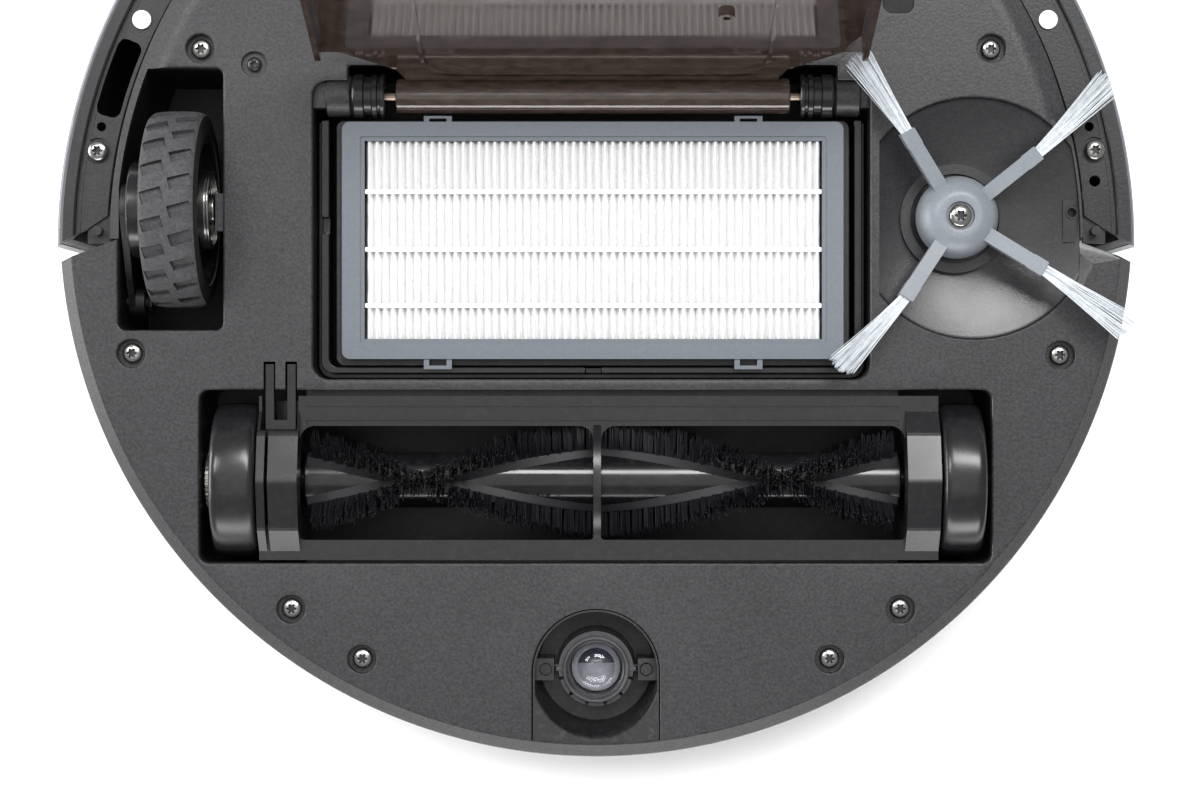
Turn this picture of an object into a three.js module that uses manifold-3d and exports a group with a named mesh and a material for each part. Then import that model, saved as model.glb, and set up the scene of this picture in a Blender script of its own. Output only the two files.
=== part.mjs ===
// Robot vacuum lying on its back: underside up (+Z), bumper towards +Y, bin lid swung open.
// Origin: centre of the flat top cover's face, which the machine lies on. Millimetres.
import * as THREE from 'three';
import { mergeVertices } from 'three/addons/utils/BufferGeometryUtils.js';
import Module from 'manifold-3d';

const wasm = await Module();
wasm.setup();

// ---------------------------------------------------------------- driving dimensions
const GAP = 0.3; // running and seating clearance between touching pieces
const BASE_Z = 76; // underside plane of the base plate
const PLATE = 3.2; // base plate thickness
const PLATE_LOW = BASE_Z - PLATE;
const COVER = 3; // top cover thickness

const BODY_R = 172.5; // rear outline of the housing
const WALL = 2.5; // side wall thickness
const HOUSING_WALL = 1.2; // of the inserts under the base plate
const HOUSING_FLOOR = 2;
const CHAMFER_W = 4.5; // lighter rim band round the rear
const CHAMFER_H = 4;
const SKIRT_LOW = 66; // lower edge of the base plate's rear skirt
const FRONT_R = 156; // front edge of the base plate
const FRONT_Y = -5.8; // centre of that front edge
const BEVEL_W = 9; // broad slope along that edge
const BEVEL_H = 2.4;
const FRONT_WALL_R = 150; // housing wall behind the bumper
const NOTCH_OUT = -14.7; // body corner beside each bumper end
const NOTCH_IN = [152.3, -6.1]; // inner corner of that notch
const FRONT_START = -2.8; // where the front edge's arc begins

const BUMPER_Y = -7; // centre of the bumper's arcs
const BUMPER_OUT = 172.2; // shell, inside the outer strip
const BUMPER_RIM = 167.6; // inner edge of the raised rim
const BUMPER_IN = 156.9; // inner edge of the flat flange
const BUMPER_END = [163.5, -2.9]; // inner corner of each end face
const STRIP_R = 174.5; // outer strip

const AXLE = { y: 3.3, z: BASE_Z - 5 }; // drive wheel axle
const PIVOT = { y: -26, z: BASE_Z - 18 }; // swing arm pivot
const TYRE_R = 31.5;
const TYRE_X = [-142.5, -124.5];
const RIM_R = 24;
const WELL = { x: [-153, -119.4], y: [-35.5, 48.3], r: 2.5, floor: 21, arc: 154 };

const ROLLER = { y: -83.9, z: BASE_Z - 13 }; // main brush axis
const BRUSH_R = 19;
const BRUSH_X = [-94, 98.2];
const CORE_R = 9;
const ROW_SWING = 70; // degrees that a bristle row swings to each side of the roller
const ROW_WAVE = 116; // half of the swing's wavelength along the roller
const BAY = { x: [-127, 126.7], y: [-110.1, -54.7], r: 3.2, floor: 36 };
const DRUM_R = 25.1;
const GUARD_X = [-107.8, 109.6];
const GUARD_Y = [-109.1, -56.6];
const WINDOW_Y = [-102.7, -66.2];
const WINDOWS = [[-94.7, -0.8], [1.6, 98.9]];
const LATCH_FINGERS = [-104.5, -97.55]; // middles of the latch's two fingers

const HUB = { x: 115.5, y: 0.5, r: 13.15 }; // side brush
const DISH = { x: 121, y: 0.3, r: 39.2, floor: BASE_Z - 7 };
const ARM_ANGLES = [39, 123, 236, 327];
const ARM_R = [10, 32];
const ARM_Z = [BASE_Z + 4.5, BASE_Z + 9];
const TUFT_ROOT = 32.4;
const TUFT_TIPS = [[64.6, 3.3], [61.6, 0.6], [63.2, -4.7], [66.1, -1.2]]; // reach, sideways lean

const RECESS = { x: [-90.7, 87.8], y: [-51.2, 44.5], r: 5, floor: 28 };
const TROUGH = { x: [-79.4, 77.4], y: 49.4 }; // room for the hinge, in front of the bin
const GROOVE = 1.9; // channel between the recess's edge and the bin's collar
const BIN = { x: [-84, 82], y: [-47, 32.5], top: BASE_Z - 7.8, low: 30.5 };
const FILTER = { x: [-81.7, 79.6], y: [-44.7, 31.6], top: BASE_Z - 4 };
const MEDIA = { x: [-74.5, 72.8], y: [-38.3, 25.5], pleats: 58, ribs: [9.2, -9.4, -27.5] };
const HINGE = { y: 40, z: BASE_Z - 6.5 };
const LID_X = [-87.8, 85];
const LID_T = [5.4, 88.8]; // from the hinge axis to the free edge
const LID_OPEN = 72; // degrees from +Y to the open lid

const SENSOR = { y: -145.3, r: 20.5, pinY: -144.6, pinZ: BASE_Z - 16, lensLow: 61.3 };
const SCREWS = [
  [-126.7, 54.7],
  [126.7, 54.7],
  [-148.8, -42.9],
  [148.8, -43.5],
  [-97.6, -124.8],
  [97.6, -124.8],
  [-74.9, -140.8],
  [74.9, -140.8],
];

const SMALL_SCREW = [-109.4, 49.6];
const CLIFF_WINDOW = { x: [92, 101.8], y: [66, 84] }; // shallow recess for a cliff sensor
const RING_SEGMENTS = 72;
const OUTLINE_STEPS = 16; // per half of each long outline arc
const deg = THREE.MathUtils.degToRad;

// ---------------------------------------------------------------- solids
function solid(geometry) {
  const bare = geometry.clone();
  for (const name of Object.keys(bare.attributes)) {
    if (name !== 'position') {
      bare.deleteAttribute(name);
    }
  }
  const merged = mergeVertices(bare, 1e-4);
  const at = merged.attributes.position;
  const index = merged.index.array;
  const kept = [];
  let volume = 0;
  const [a, b, c] = [new THREE.Vector3(), new THREE.Vector3(), new THREE.Vector3()];
  for (let i = 0; i < index.length; i += 3) {
    const [p, q, r] = [index[i], index[i + 1], index[i + 2]];
    if (p === q || q === r || r === p) {
      continue;
    }
    a.fromBufferAttribute(at, p);
    b.fromBufferAttribute(at, q);
    c.fromBufferAttribute(at, r);
    volume += a.dot(b.cross(c));
    kept.push([p, q, r]);
  }
  const outward = volume < 0 ? kept.map(([p, q, r]) => [p, r, q]) : kept;
  const triVerts = new Uint32Array(outward.flat());
  const vertProperties = new Float32Array(at.array);
  return new wasm.Manifold(new wasm.Mesh({ numProp: 3, vertProperties, triVerts }));
}

function union(bodies) {
  return bodies.reduce((whole, body) => whole.add(body));
}

function box(x0, x1, y0, y1, z0, z1) {
  const geometry = new THREE.BoxGeometry(x1 - x0, y1 - y0, z1 - z0);
  return solid(geometry.translate((x0 + x1) / 2, (y0 + y1) / 2, (z0 + z1) / 2));
}

function prism(shape, z0, z1, curveSegments = 6) {
  const options = { depth: z1 - z0, bevelEnabled: false, curveSegments };
  return solid(new THREE.ExtrudeGeometry(shape, options).translate(0, 0, z0));
}

function post(radius, z0, z1, x = 0, y = 0, segments = 24) {
  const geometry = new THREE.CylinderGeometry(radius, radius, z1 - z0, segments);
  return solid(geometry.rotateX(Math.PI / 2).translate(x, y, (z0 + z1) / 2));
}

function rod(radius, x0, x1, y, z, segments = 24) {
  const geometry = new THREE.CylinderGeometry(radius, radius, x1 - x0, segments);
  return solid(geometry.rotateZ(Math.PI / 2).translate((x0 + x1) / 2, y, z));
}

// A profile of [radius, height] pairs turned about a vertical axis
function turnedZ(profile, x = 0, y = 0, segments = 32) {
  const points = profile.map(([r, h]) => new THREE.Vector2(r, h));
  const geometry = new THREE.LatheGeometry(points, segments);
  return solid(geometry.rotateX(Math.PI / 2).translate(x, y, 0));
}

// A profile of [radius, x] pairs turned about an axis along X
function turnedX(profile, y, z, segments = 32) {
  const points = profile.map(([r, h]) => new THREE.Vector2(r, h));
  const geometry = new THREE.LatheGeometry(points, segments);
  return solid(geometry.rotateZ(-Math.PI / 2).translate(0, y, z));
}

function roundedRect([x0, x1], [y0, y1], r) {
  const shape = new THREE.Shape();
  shape.absarc(x1 - r, y0 + r, r, -Math.PI / 2, 0, false);
  shape.absarc(x1 - r, y1 - r, r, 0, Math.PI / 2, false);
  shape.absarc(x0 + r, y1 - r, r, Math.PI / 2, Math.PI, false);
  shape.absarc(x0 + r, y0 + r, r, Math.PI, 1.5 * Math.PI, false);
  return shape;
}

function polygon(points) {
  return new THREE.Shape(points.map(([x, y]) => new THREE.Vector2(x, y)));
}

// A polygon of [y, z] points standing across X from x0 to x1
function slabX(points, x0, x1) {
  const options = { depth: x1 - x0, bevelEnabled: false };
  const geometry = new THREE.ExtrudeGeometry(polygon(points), options);
  // the shape's own x, y and depth become Y, Z and X
  geometry.applyMatrix4(new THREE.Matrix4().set(0, 0, 1, x0, 1, 0, 0, 0, 0, 1, 0, 0, 0, 0, 0, 1));
  return solid(geometry);
}

function grown([low, high], by) {
  return [low - by, high + by];
}

// Round wire wound about an axis from one point to another, with closed ends
function coil(from, to, radius, wire, turns) {
  class Helix extends THREE.Curve {
    getPoint(t, target = new THREE.Vector3()) {
      const angle = 2 * Math.PI * turns * t;
      const length = from.distanceTo(to);
      return target.set(radius * Math.cos(angle), radius * Math.sin(angle), length * t);
    }
  }
  const section = new THREE.Shape();
  section.absarc(0, 0, wire, 0, 2 * Math.PI, false);
  const steps = Math.round(turns * 9);
  const options = { steps, extrudePath: new Helix(), curveSegments: 2 };
  const geometry = new THREE.ExtrudeGeometry(section, options);
  const along = to.clone().sub(from).normalize();
  const turn = new THREE.Quaternion().setFromUnitVectors(new THREE.Vector3(0, 0, 1), along);
  return solid(geometry.applyQuaternion(turn).translate(from.x, from.y, from.z));
}

// ---------------------------------------------------------------- materials
function plastic(color, roughness) {
  return new THREE.MeshStandardMaterial({ color, roughness, metalness: 0 });
}

function metal(color, roughness) {
  return new THREE.MeshStandardMaterial({ color, roughness, metalness: 1 });
}

const charcoal = plastic(0x4a4a4c, 0.55);
const blackPlastic = plastic(0x1c1c1e, 0.4);
const glossBlack = plastic(0x121214, 0.2);
const silverStrip = plastic(0xb4b6ba, 0.25);
const steel = metal(0xc0c0c2, 0.3);
const darkSteel = metal(0x3a3a3c, 0.4);
const springSteel = metal(0x9a9a9c, 0.35);
const tyreRubber = plastic(0x6a6a6c, 0.8);
const bristleBlue = plastic(0x14161e, 0.9);
const brushGrey = plastic(0x969ea6, 0.45);
const nylonGrey = plastic(0xc8cdd2, 0.5);
const filterGrey = plastic(0x788088, 0.5);
const filterWhite = plastic(0xf2f3f4, 0.85);
const smoke = new THREE.MeshStandardMaterial({
  color: 0x6b5a50,
  roughness: 0.15,
  metalness: 0,
  transparent: true,
  opacity: 0.5,
});
const lensGlass = new THREE.MeshStandardMaterial({ color: 0x8a8c90, roughness: 0.05, metalness: 0 });
const boardGreen = plastic(0x1f5a38, 0.5);
const batteryBlue = plastic(0x2c4a78, 0.5);
const whitePlug = plastic(0xe8e8e8, 0.5);

const vacuum = new THREE.Group();

function add(name, body, material) {
  const { vertProperties, triVerts } = body.getMesh();
  const geometry = new THREE.BufferGeometry();
  const positions = new THREE.BufferAttribute(new Float32Array(vertProperties), 3);
  geometry.setAttribute('position', positions);
  geometry.setIndex(new THREE.BufferAttribute(new Uint32Array(triVerts), 1));
  geometry.computeVertexNormals();
  const mesh = new THREE.Mesh(geometry, material);
  mesh.name = name;
  vacuum.add(mesh);
}

// ---------------------------------------------------------------- housing
// Rear arc, a notch beside each bumper end, then the smaller front arc
function bodyOutline(rearR, frontR, inset) {
  const start = Math.asin((-NOTCH_OUT + inset) / rearR);
  const front = Math.asin((FRONT_START - inset - FRONT_Y) / frontR);
  const notchX = Math.min(NOTCH_IN[0], frontR - 2);
  const shape = new THREE.Shape();
  shape.absarc(0, 0, rearR, Math.PI + start, 2 * Math.PI - start, false);
  shape.lineTo(notchX, NOTCH_IN[1] - inset);
  shape.absarc(0, FRONT_Y, frontR, front, Math.PI - front, false);
  shape.lineTo(-notchX, NOTCH_IN[1] - inset);
  return shape;
}

function wellBody(grow, low, high) {
  const outline = roundedRect(grown(WELL.x, grow), grown(WELL.y, grow), WELL.r + grow);
  const limit = post(WELL.arc + grow, low, high, 0, BUMPER_Y, RING_SEGMENTS)
    .add(box(-200, 0, -100, BUMPER_Y, low, high));
  return prism(outline, low, high, 3).intersect(limit);
}

function dishBody(grow, low, high) {
  const round = post(DISH.r + grow, low, high, DISH.x, DISH.y, 48);
  return round.intersect(dishLimit(grow, low, high));
}

// Keeps the dish clear of the bumper and of the bin's housing
function dishLimit(grow, low, high) {
  const edge = post(WELL.arc - 0.4 + grow, low, high, 0, BUMPER_Y, RING_SEGMENTS);
  return edge.intersect(box(RECESS.x[1] + 2.9 - grow, 200, -100, 100, low, high));
}

// The dish itself: a shallow bowl with a low step round it
function dishBowl(past) {
  const { x, y, r, floor } = DISH;
  const bowl = turnedZ([
    [0, floor], [18, floor], [30, floor + 2.4], [r - 0.6, floor + 5.3], [r, floor + 5.6], [r, past], [0, past],
  ], x, y, 48);
  return bowl.intersect(dishLimit(0, floor, past));
}

function recessBody(grow, low, high) {
  const main = prism(roundedRect(grown(RECESS.x, grow), grown(RECESS.y, grow), RECESS.r), low, high, 4);
  return main.add(box(...grown(TROUGH.x, grow), 0, TROUGH.y + grow, low, high));
}

function bayBody(grow, low, high) {
  return prism(roundedRect(grown(BAY.x, grow), grown(BAY.y, grow), BAY.r + grow), low, high, 4);
}

// The sensor's slot: an arch whose straight sides end at the rear chamfer
function sensorSlot(shrink, low, high) {
  const r = SENSOR.r - shrink;
  const shape = new THREE.Shape();
  shape.moveTo(-r, -BODY_R - 5);
  shape.lineTo(r, -BODY_R - 5);
  shape.absarc(0, SENSOR.y, r, 0, Math.PI, false);
  const edge = post(BODY_R - CHAMFER_W - shrink, low, high, 0, 0, RING_SEGMENTS);
  return prism(shape, low, high, 10).intersect(edge);
}

// Everything behind the notches, or in front of them
function rearRegion(low, high) {
  const [x, y] = NOTCH_IN;
  const outline = [[-200, -200], [200, -200], [200, y - 18], [x, y], [-x, y], [-200, y - 18]];
  return prism(polygon(outline), low, high);
}

function plateBlank() {
  const [r, inner] = [BODY_R, BODY_R - 3];
  const rear = turnedZ([
    [0, PLATE_LOW], [inner, PLATE_LOW], [inner, SKIRT_LOW], [r, SKIRT_LOW], [r, BASE_Z - CHAMFER_H],
    [r - CHAMFER_W, BASE_Z], [0, BASE_Z],
  ], 0, 0, RING_SEGMENTS);
  const front = turnedZ([
    [0, PLATE_LOW], [FRONT_R, PLATE_LOW], [FRONT_R, BASE_Z - BEVEL_H],
    [FRONT_R - BEVEL_W, BASE_Z], [0, BASE_Z],
  ], 0, FRONT_Y, RING_SEGMENTS);
  return rear.intersect(rearRegion(60, 80)).add(front.intersect(box(-200, 200, NOTCH_IN[1], 200, 60, 80)));
}

// Everything under the plate that the housings fill, with a gap round it
function housingRoom() {
  const grow = HOUSING_WALL + GAP;
  const drop = HOUSING_FLOOR + GAP;
  return union([
    wellBody(grow, WELL.floor - drop, PLATE_LOW),
    bayBody(grow, BAY.floor - drop, PLATE_LOW),
    recessBody(grow, RECESS.floor - drop, PLATE_LOW),
  ]);
}

function housing(cavity, floor) {
  const tub = cavity(HOUSING_WALL, floor - HOUSING_FLOOR, PLATE_LOW - GAP);
  return tub.subtract(cavity(0, floor, BASE_Z));
}

function latchSlots() {
  return union(LATCH_FINGERS.map((x) => box(x - 1.9, x + 1.9, -56, -45.6, 64, BASE_Z + 5)));
}

function rollerCradle(x0, x1) {
  const block = box(x0, x1, ROLLER.y - 8, ROLLER.y + 8, BAY.floor - 1, ROLLER.z + 3);
  const seat = rod(4.2, x0 - 1, x1 + 1, ROLLER.y, ROLLER.z, 16);
  const way = box(x0 - 1, x1 + 1, ROLLER.y - 4.2, ROLLER.y + 4.2, ROLLER.z, ROLLER.z + 5);
  return block.subtract(seat).subtract(way);
}

function hingeLugs(grow) {
  const lug = (x0, x1) => rod(6.45 + grow, x0 - grow, x1 + grow, HINGE.y, HINGE.z, 24);
  const bridge = (x0, x1) => box(x0, x1, ...grown([36, 44], grow), 67.5 - grow, PLATE_LOW + 0.1);
  return union([
    lug(-86.7, -78.7),
    lug(76.8, 84.9),
    bridge(RECESS.x[0] - 2.5 - grow, -86),
    bridge(84.2, RECESS.x[1] + 2.5 + grow),
  ]);
}

function basePlate() {
  const high = BASE_Z - 0.5;
  const bosses = SCREWS.map(([x, y]) => post(6.8, 62, high, x, y, 10));
  const past = BASE_Z + 5;
  const cavities = [
    wellBody(0, PLATE_LOW - 1, past),
    bayBody(0, PLATE_LOW - 1, past),
    recessBody(0, PLATE_LOW - 1, past),
    dishBowl(past),
    post(5.4, 60, past, HUB.x, HUB.y, 20),
    sensorSlot(0, 40, past),
    latchSlots(),
    ...SCREWS.map(([x, y]) => post(4.8, BASE_Z - 3.6, past, x, y, 14)),
    ...SCREWS.map(([x, y]) => post(1.8, 60, past, x, y, 6)),
    post(4.2, BASE_Z - 1.6, past, ...SMALL_SCREW, 16),
    post(1.8, 60, past, ...SMALL_SCREW, 6),
    prism(roundedRect(CLIFF_WINDOW.x, CLIFF_WINDOW.y, 3), BASE_Z - 1.8, past, 4),
  ];
  const seat = post(17.5, DISH.floor - 1, DISH.floor + 2.4, HUB.x, HUB.y, 32)
    .subtract(post(14.4, DISH.floor - 2, DISH.floor + 3, HUB.x, HUB.y, 32));
  const tab = box(WELL.x[1] - 2.6, WELL.x[1] + 1, -3.8, 8.3, PLATE_LOW, BASE_Z - 0.4);
  const bore = rod(1.75, -200, 200, HINGE.y, HINGE.z, 12)
    .intersect(box(-85.9, 84.1, 30, 50, 60, BASE_Z));
  return union([plateBlank(), dishBody(1.4, DISH.floor - 1.8, high), ...bosses])
    .subtract(housingRoom())
    .subtract(union(cavities))
    .add(union([seat, tab, hingeLugs(0)]))
    .subtract(bore);
}

function wheelHousing() {
  const pivot = rod(2.2, WELL.x[0] - HOUSING_WALL / 2, -143.6, PIVOT.y, PIVOT.z, 14);
  return housing(wellBody, WELL.floor).add(pivot);
}

function brushHousing() {
  const stub = (x0, x1) => rod(3, x0, x1, ROLLER.y, ROLLER.z, 14);
  const ledge = (y0, y1) => box(-93, 97, y0, y1, BASE_Z - 8, BASE_Z - 3.7);
  const fittings = [
    rollerCradle(-103, -97.5),
    rollerCradle(101, 106.5),
    stub(BAY.x[0] - 1, -108.9),
    stub(110.9, BAY.x[1] + 1),
    ledge(BAY.y[1] - 3, BAY.y[1] + 0.5),
    ledge(BAY.y[0] - 0.5, BAY.y[0] + 3),
  ];
  return housing(bayBody, BAY.floor).add(union(fittings)).subtract(latchSlots());
}

function binHousing() {
  return housing(recessBody, RECESS.floor).subtract(hingeLugs(GAP));
}

function sideWall() {
  const low = COVER + GAP;
  const outside = bodyOutline(BODY_R, FRONT_WALL_R, 0.4);
  const inside = bodyOutline(BODY_R - WALL, FRONT_WALL_R - WALL, 0.4 + WALL);
  const ring = (z0, z1) => prism(outside, z0, z1, OUTLINE_STEPS)
    .subtract(prism(inside, z0 - 1, z1 + 1, OUTLINE_STEPS));
  const front = ring(SKIRT_LOW - 1, PLATE_LOW - GAP).intersect(box(-200, 200, 0, 200, 0, 100));
  return ring(low, SKIRT_LOW - GAP)
    .add(front)
    .subtract(wellBody(HOUSING_WALL + GAP, WELL.floor - HOUSING_FLOOR - GAP, BASE_Z))
    .subtract(dishBody(1.4 + GAP, DISH.floor - 1.8 - GAP, BASE_Z));
}

const BUTTON = { x: 0, y: 118, r: 9 };

function topCover() {
  const cover = prism(bodyOutline(BODY_R, FRONT_R, 0), 0, COVER, OUTLINE_STEPS);
  const groove = post(BUTTON.r + 5, -1, 0.6, BUTTON.x, BUTTON.y, 20);
  const hole = post(BUTTON.r + GAP, -1, COVER + 1, BUTTON.x, BUTTON.y, 20);
  return cover.subtract(groove).subtract(hole);
}

function powerButton() {
  const flange = COVER + GAP;
  const profile = [[0, 1], [BUTTON.r - 1, 1], [BUTTON.r, 1.6], [BUTTON.r, flange],
    [BUTTON.r + 1.8, flange], [BUTTON.r + 1.8, flange + 1.2], [0, flange + 1.2]];
  return turnedZ(profile, BUTTON.x, BUTTON.y, 20);
}

function caseScrew(x, y, headR, headZ, depth) {
  const under = headZ - 2;
  return turnedZ([
    [0, headZ - 0.9], [1.2, headZ - 0.9], [1.4, headZ], [headR - 0.6, headZ - 0.1], [headR, headZ - 0.8],
    [headR, under], [1.3, under], [1.3, headZ - depth], [0, headZ - depth],
  ], x, y, 10);
}

// ---------------------------------------------------------------- bumper
function frontRegion() {
  const [x, y] = BUMPER_END;
  const out = [180, y - (180 - x) * 0.51];
  const inner = [x - 8, y + 5.3];
  const right = [inner, BUMPER_END, out, [180, 200]];
  const left = right.map(([px, py]) => [-px, py]).reverse();
  return prism(polygon([...right, ...left]), 0, 90);
}

function bumperArc(profile) {
  return turnedZ([...profile, profile[0]], 0, BUMPER_Y, RING_SEGMENTS).intersect(frontRegion());
}

// Curved slot in the flange, between two angles
function flangeSlot(angle0, angle1) {
  const mid = 162.45;
  const half = 4.05;
  const shape = new THREE.Shape();
  shape.absarc(0, BUMPER_Y, mid + half, deg(angle0), deg(angle1), false);
  shape.absarc(0, BUMPER_Y, mid - half, deg(angle1), deg(angle0), true);
  return prism(shape, 60, 80, 8);
}

const PLUGS = [[-145.9, 64.3], [145.3, 64.3]];
const BUMPER_SCREWS = [[-160, 22.1], [160.3, 22.4]];
const FLANGE = [69.7, 72.2];

function bumperShell() {
  const wall = 169.5;
  const shell = bumperArc([
    [BUMPER_IN, FLANGE[0]],
    [BUMPER_RIM, FLANGE[0]],
    [wall, 66],
    [wall, COVER + 2.4],
    [155.6, COVER + 2.4],
    [155.6, COVER + 0.4],
    [BUMPER_OUT, COVER + 0.4],
    [BUMPER_OUT, 73],
    [BUMPER_RIM, 73],
    [BUMPER_RIM, FLANGE[1]],
    [BUMPER_IN, FLANGE[1]],
  ]);
  const pivots = [-160, 160.4].flatMap((x) => [
    box(x - 3.6, x + 3.6, -7.5, 5, FLANGE[0], FLANGE[0] + 1.2),
    post(1.5, FLANGE[0], 74.6, x, -3.6, 12),
  ]);
  const pad = box(151.2, 156.4, -1.5, 9, FLANGE[0], FLANGE[1] + 0.5)
    .intersect(bumperArc([[BUMPER_IN, 60], [BUMPER_RIM, 60], [BUMPER_RIM, 80], [BUMPER_IN, 80]]));
  const holes = [
    flangeSlot(156.6, 165.6),
    ...PLUGS.map(([x, y]) => post(2.2, 60, 80, x, y, 12)),
    ...BUMPER_SCREWS.map(([x, y]) => post(1.7, 60, 80, x, y, 8)),
    post(1.5, 60, 80, -159, 30, 10),
    post(1.5, 60, 80, 158.6, 30, 10),
    post(1.8, 60, 80, 160.4, 12.5, 12),
  ];
  return union([shell, ...pivots, pad]).subtract(union(holes));
}

function bumperStrip() {
  return bumperArc([[172.5, 14], [173.6, 14], [STRIP_R, 16], [STRIP_R, 66], [173.6, 68.5], [172.5, 68.5]]);
}

function bumperPlug([x, y]) {
  const top = FLANGE[1] + GAP;
  return turnedZ([
    [0, 67], [1.9, 67], [1.9, top], [3, top], [3, top + 0.7], [2.2, top + 1.1], [0, top + 1.1],
  ], x, y, 16);
}

function bumperSpring(angle) {
  const [s, c] = [Math.sin(deg(angle)), Math.cos(deg(angle))];
  const from = new THREE.Vector3(152 * c, 152 * s + BUMPER_Y, 40);
  const to = new THREE.Vector3(167.5 * c, 167.5 * s + BUMPER_Y, 40);
  return coil(from, to, 3.2, 0.5, 5);
}

// ---------------------------------------------------------------- drive wheel
function tyre() {
  const [x0, x1] = TYRE_X;
  const inner = RIM_R + GAP;
  const r = TYRE_R;
  const ring = turnedX([
    [inner, x0], [r - 2.5, x0], [r - 0.4, x0 + 1.6], [r, x0 + 5], [r, x1 - 5], [r - 0.4, x1 - 1.6],
    [r - 2.5, x1], [inner, x1], [inner, x0],
  ], AXLE.y, AXLE.z, 42);
  const count = 14;
  const pockets = [];
  for (let i = 0; i < count; i += 1) {
    for (const side of [-1, 1]) {
      const pocket = new THREE.BoxGeometry(6.4, 3.1, 3);
      pocket.rotateZ(deg(side * 12));
      pocket.translate((x0 + x1) / 2 + side * 4.4, 0, r);
      pocket.rotateX((2 * Math.PI * (i + side * 0.25)) / count);
      pockets.push(solid(pocket.translate(0, AXLE.y, AXLE.z)));
    }
  }
  return ring.subtract(union(pockets));
}

function wheelRim() {
  const [x0, x1] = TYRE_X;
  const web = x0 + 5;
  return turnedX([
    [3.3, web], [RIM_R - 3, web], [RIM_R - 3, x0 + 0.5], [RIM_R, x0 + 0.5], [RIM_R, x1 - 0.4],
    [RIM_R - 2.5, x1 - 0.4], [RIM_R - 4, x1 - 2.5], [13, x1 - 1.2], [13, x1], [11, x1], [11, x1 - 4],
    [3.3, x1 - 4], [3.3, web],
  ], AXLE.y, AXLE.z, 20);
}

function wheelAxle() {
  const [, x1] = TYRE_X;
  return turnedX([
    [0, -148.9], [3, -148.9], [3, x1 - 3.7], [10.6, x1 - 3.7], [10.6, x1 + 0.3], [12.5, x1 + 0.3],
    [12.5, x1 + 1.4], [8, x1 + 1.4], [8, x1 + 0.4], [5, x1 + 0.4], [5, x1 + 2.1], [0, x1 + 2.1],
  ], AXLE.y, AXLE.z, 20);
}

function wheelMotor() {
  return turnedX([
    [3.3, -149.4], [14.5, -149.4], [15.5, -148.4], [15.5, -142.9], [3.3, -142.9], [3.3, -149.4],
  ], AXLE.y, AXLE.z, 32);
}

function swingArm() {
  const [x0, x1] = [-151.9, -149.8];
  const [dy, dz] = [AXLE.y - PIVOT.y, AXLE.z - PIVOT.z];
  const bar = new THREE.BoxGeometry(x1 - x0, Math.hypot(dy, dz), 9);
  bar.rotateX(Math.atan2(dz, dy));
  bar.translate((x0 + x1) / 2, PIVOT.y + dy / 2, PIVOT.z + dz / 2);
  return union([
    solid(bar),
    rod(8.5, x0, x1, AXLE.y, AXLE.z, 24),
    rod(5, x0, -147, PIVOT.y, PIVOT.z, 20),
  ]).subtract(rod(2.5, x0 - 1, -146, PIVOT.y, PIVOT.z, 14));
}

function armSpring() {
  const from = new THREE.Vector3(-146.2, PIVOT.y, PIVOT.z);
  const to = new THREE.Vector3(-144.4, PIVOT.y, PIVOT.z);
  return coil(from, to, 3.9, 0.4, 2);
}

// ---------------------------------------------------------------- main brush
function brushCore() {
  const [x0, x1] = BRUSH_X;
  return turnedX([
    [0, x0 - 11], [3.8, x0 - 11], [3.8, x0], [CORE_R, x0],
    [CORE_R, x1], [3.8, x1], [3.8, x1 + 9.5], [0, x1 + 9.5],
  ], ROLLER.y, ROLLER.z, 12);
}

// A bristle row that swings from side to side of the roller along its length
function bristleRow(start, sense) {
  const [x0, x1] = BRUSH_X;
  const inner = CORE_R + 0.5;
  const row = new THREE.BoxGeometry(x1 - x0 - 1, 3, BRUSH_R - inner, 20, 1, 1);
  row.translate(0, 0, (BRUSH_R + inner) / 2);
  const at = row.attributes.position;
  const point = new THREE.Vector3();
  for (let i = 0; i < at.count; i += 1) {
    point.fromBufferAttribute(at, i);
    const angle = deg(start + sense * ROW_SWING * Math.cos((Math.PI * point.x) / ROW_WAVE));
    point.applyAxisAngle(new THREE.Vector3(1, 0, 0), angle);
    at.setXYZ(i, point.x, point.y, point.z);
  }
  return solid(row.translate((x0 + x1) / 2, ROLLER.y, ROLLER.z));
}

function brushBristles() {
  const [x0, x1] = BRUSH_X;
  const collar = (from, to) => rod(14, from, to, ROLLER.y, ROLLER.z, 16)
    .subtract(rod(CORE_R + GAP, from - 1, to + 1, ROLLER.y, ROLLER.z, 12));
  return union([
    bristleRow(0, 1),
    bristleRow(0, -1),
    bristleRow(180, 1),
    bristleRow(180, -1),
    collar(x0 + 0.2, x0 + 2.2),
    collar(x1 - 2.2, x1 - 0.2),
  ]);
}

// Outline across the roller of the guard's faceted end blocks and centre rib
function archProfile(innerR) {
  const low = ROLLER.z - 6;
  const side = 25.7;
  const outer = [[side, low], [side, BASE_Z - 3], [15.2, BASE_Z + 5.4], [0, BASE_Z + 9.4],
    [-15.2, BASE_Z + 5.4], [-side, BASE_Z - 3], [-side, low]];
  const inner = [];
  for (let i = 0; i <= 10; i += 1) {
    const angle = Math.PI - (Math.PI * i) / 10;
    inner.push([innerR * Math.cos(angle), ROLLER.z + innerR * Math.sin(angle)]);
  }
  return [...outer, [-innerR, low], ...inner, [innerR, low]].map(([y, z]) => [ROLLER.y + y, z]);
}

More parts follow.
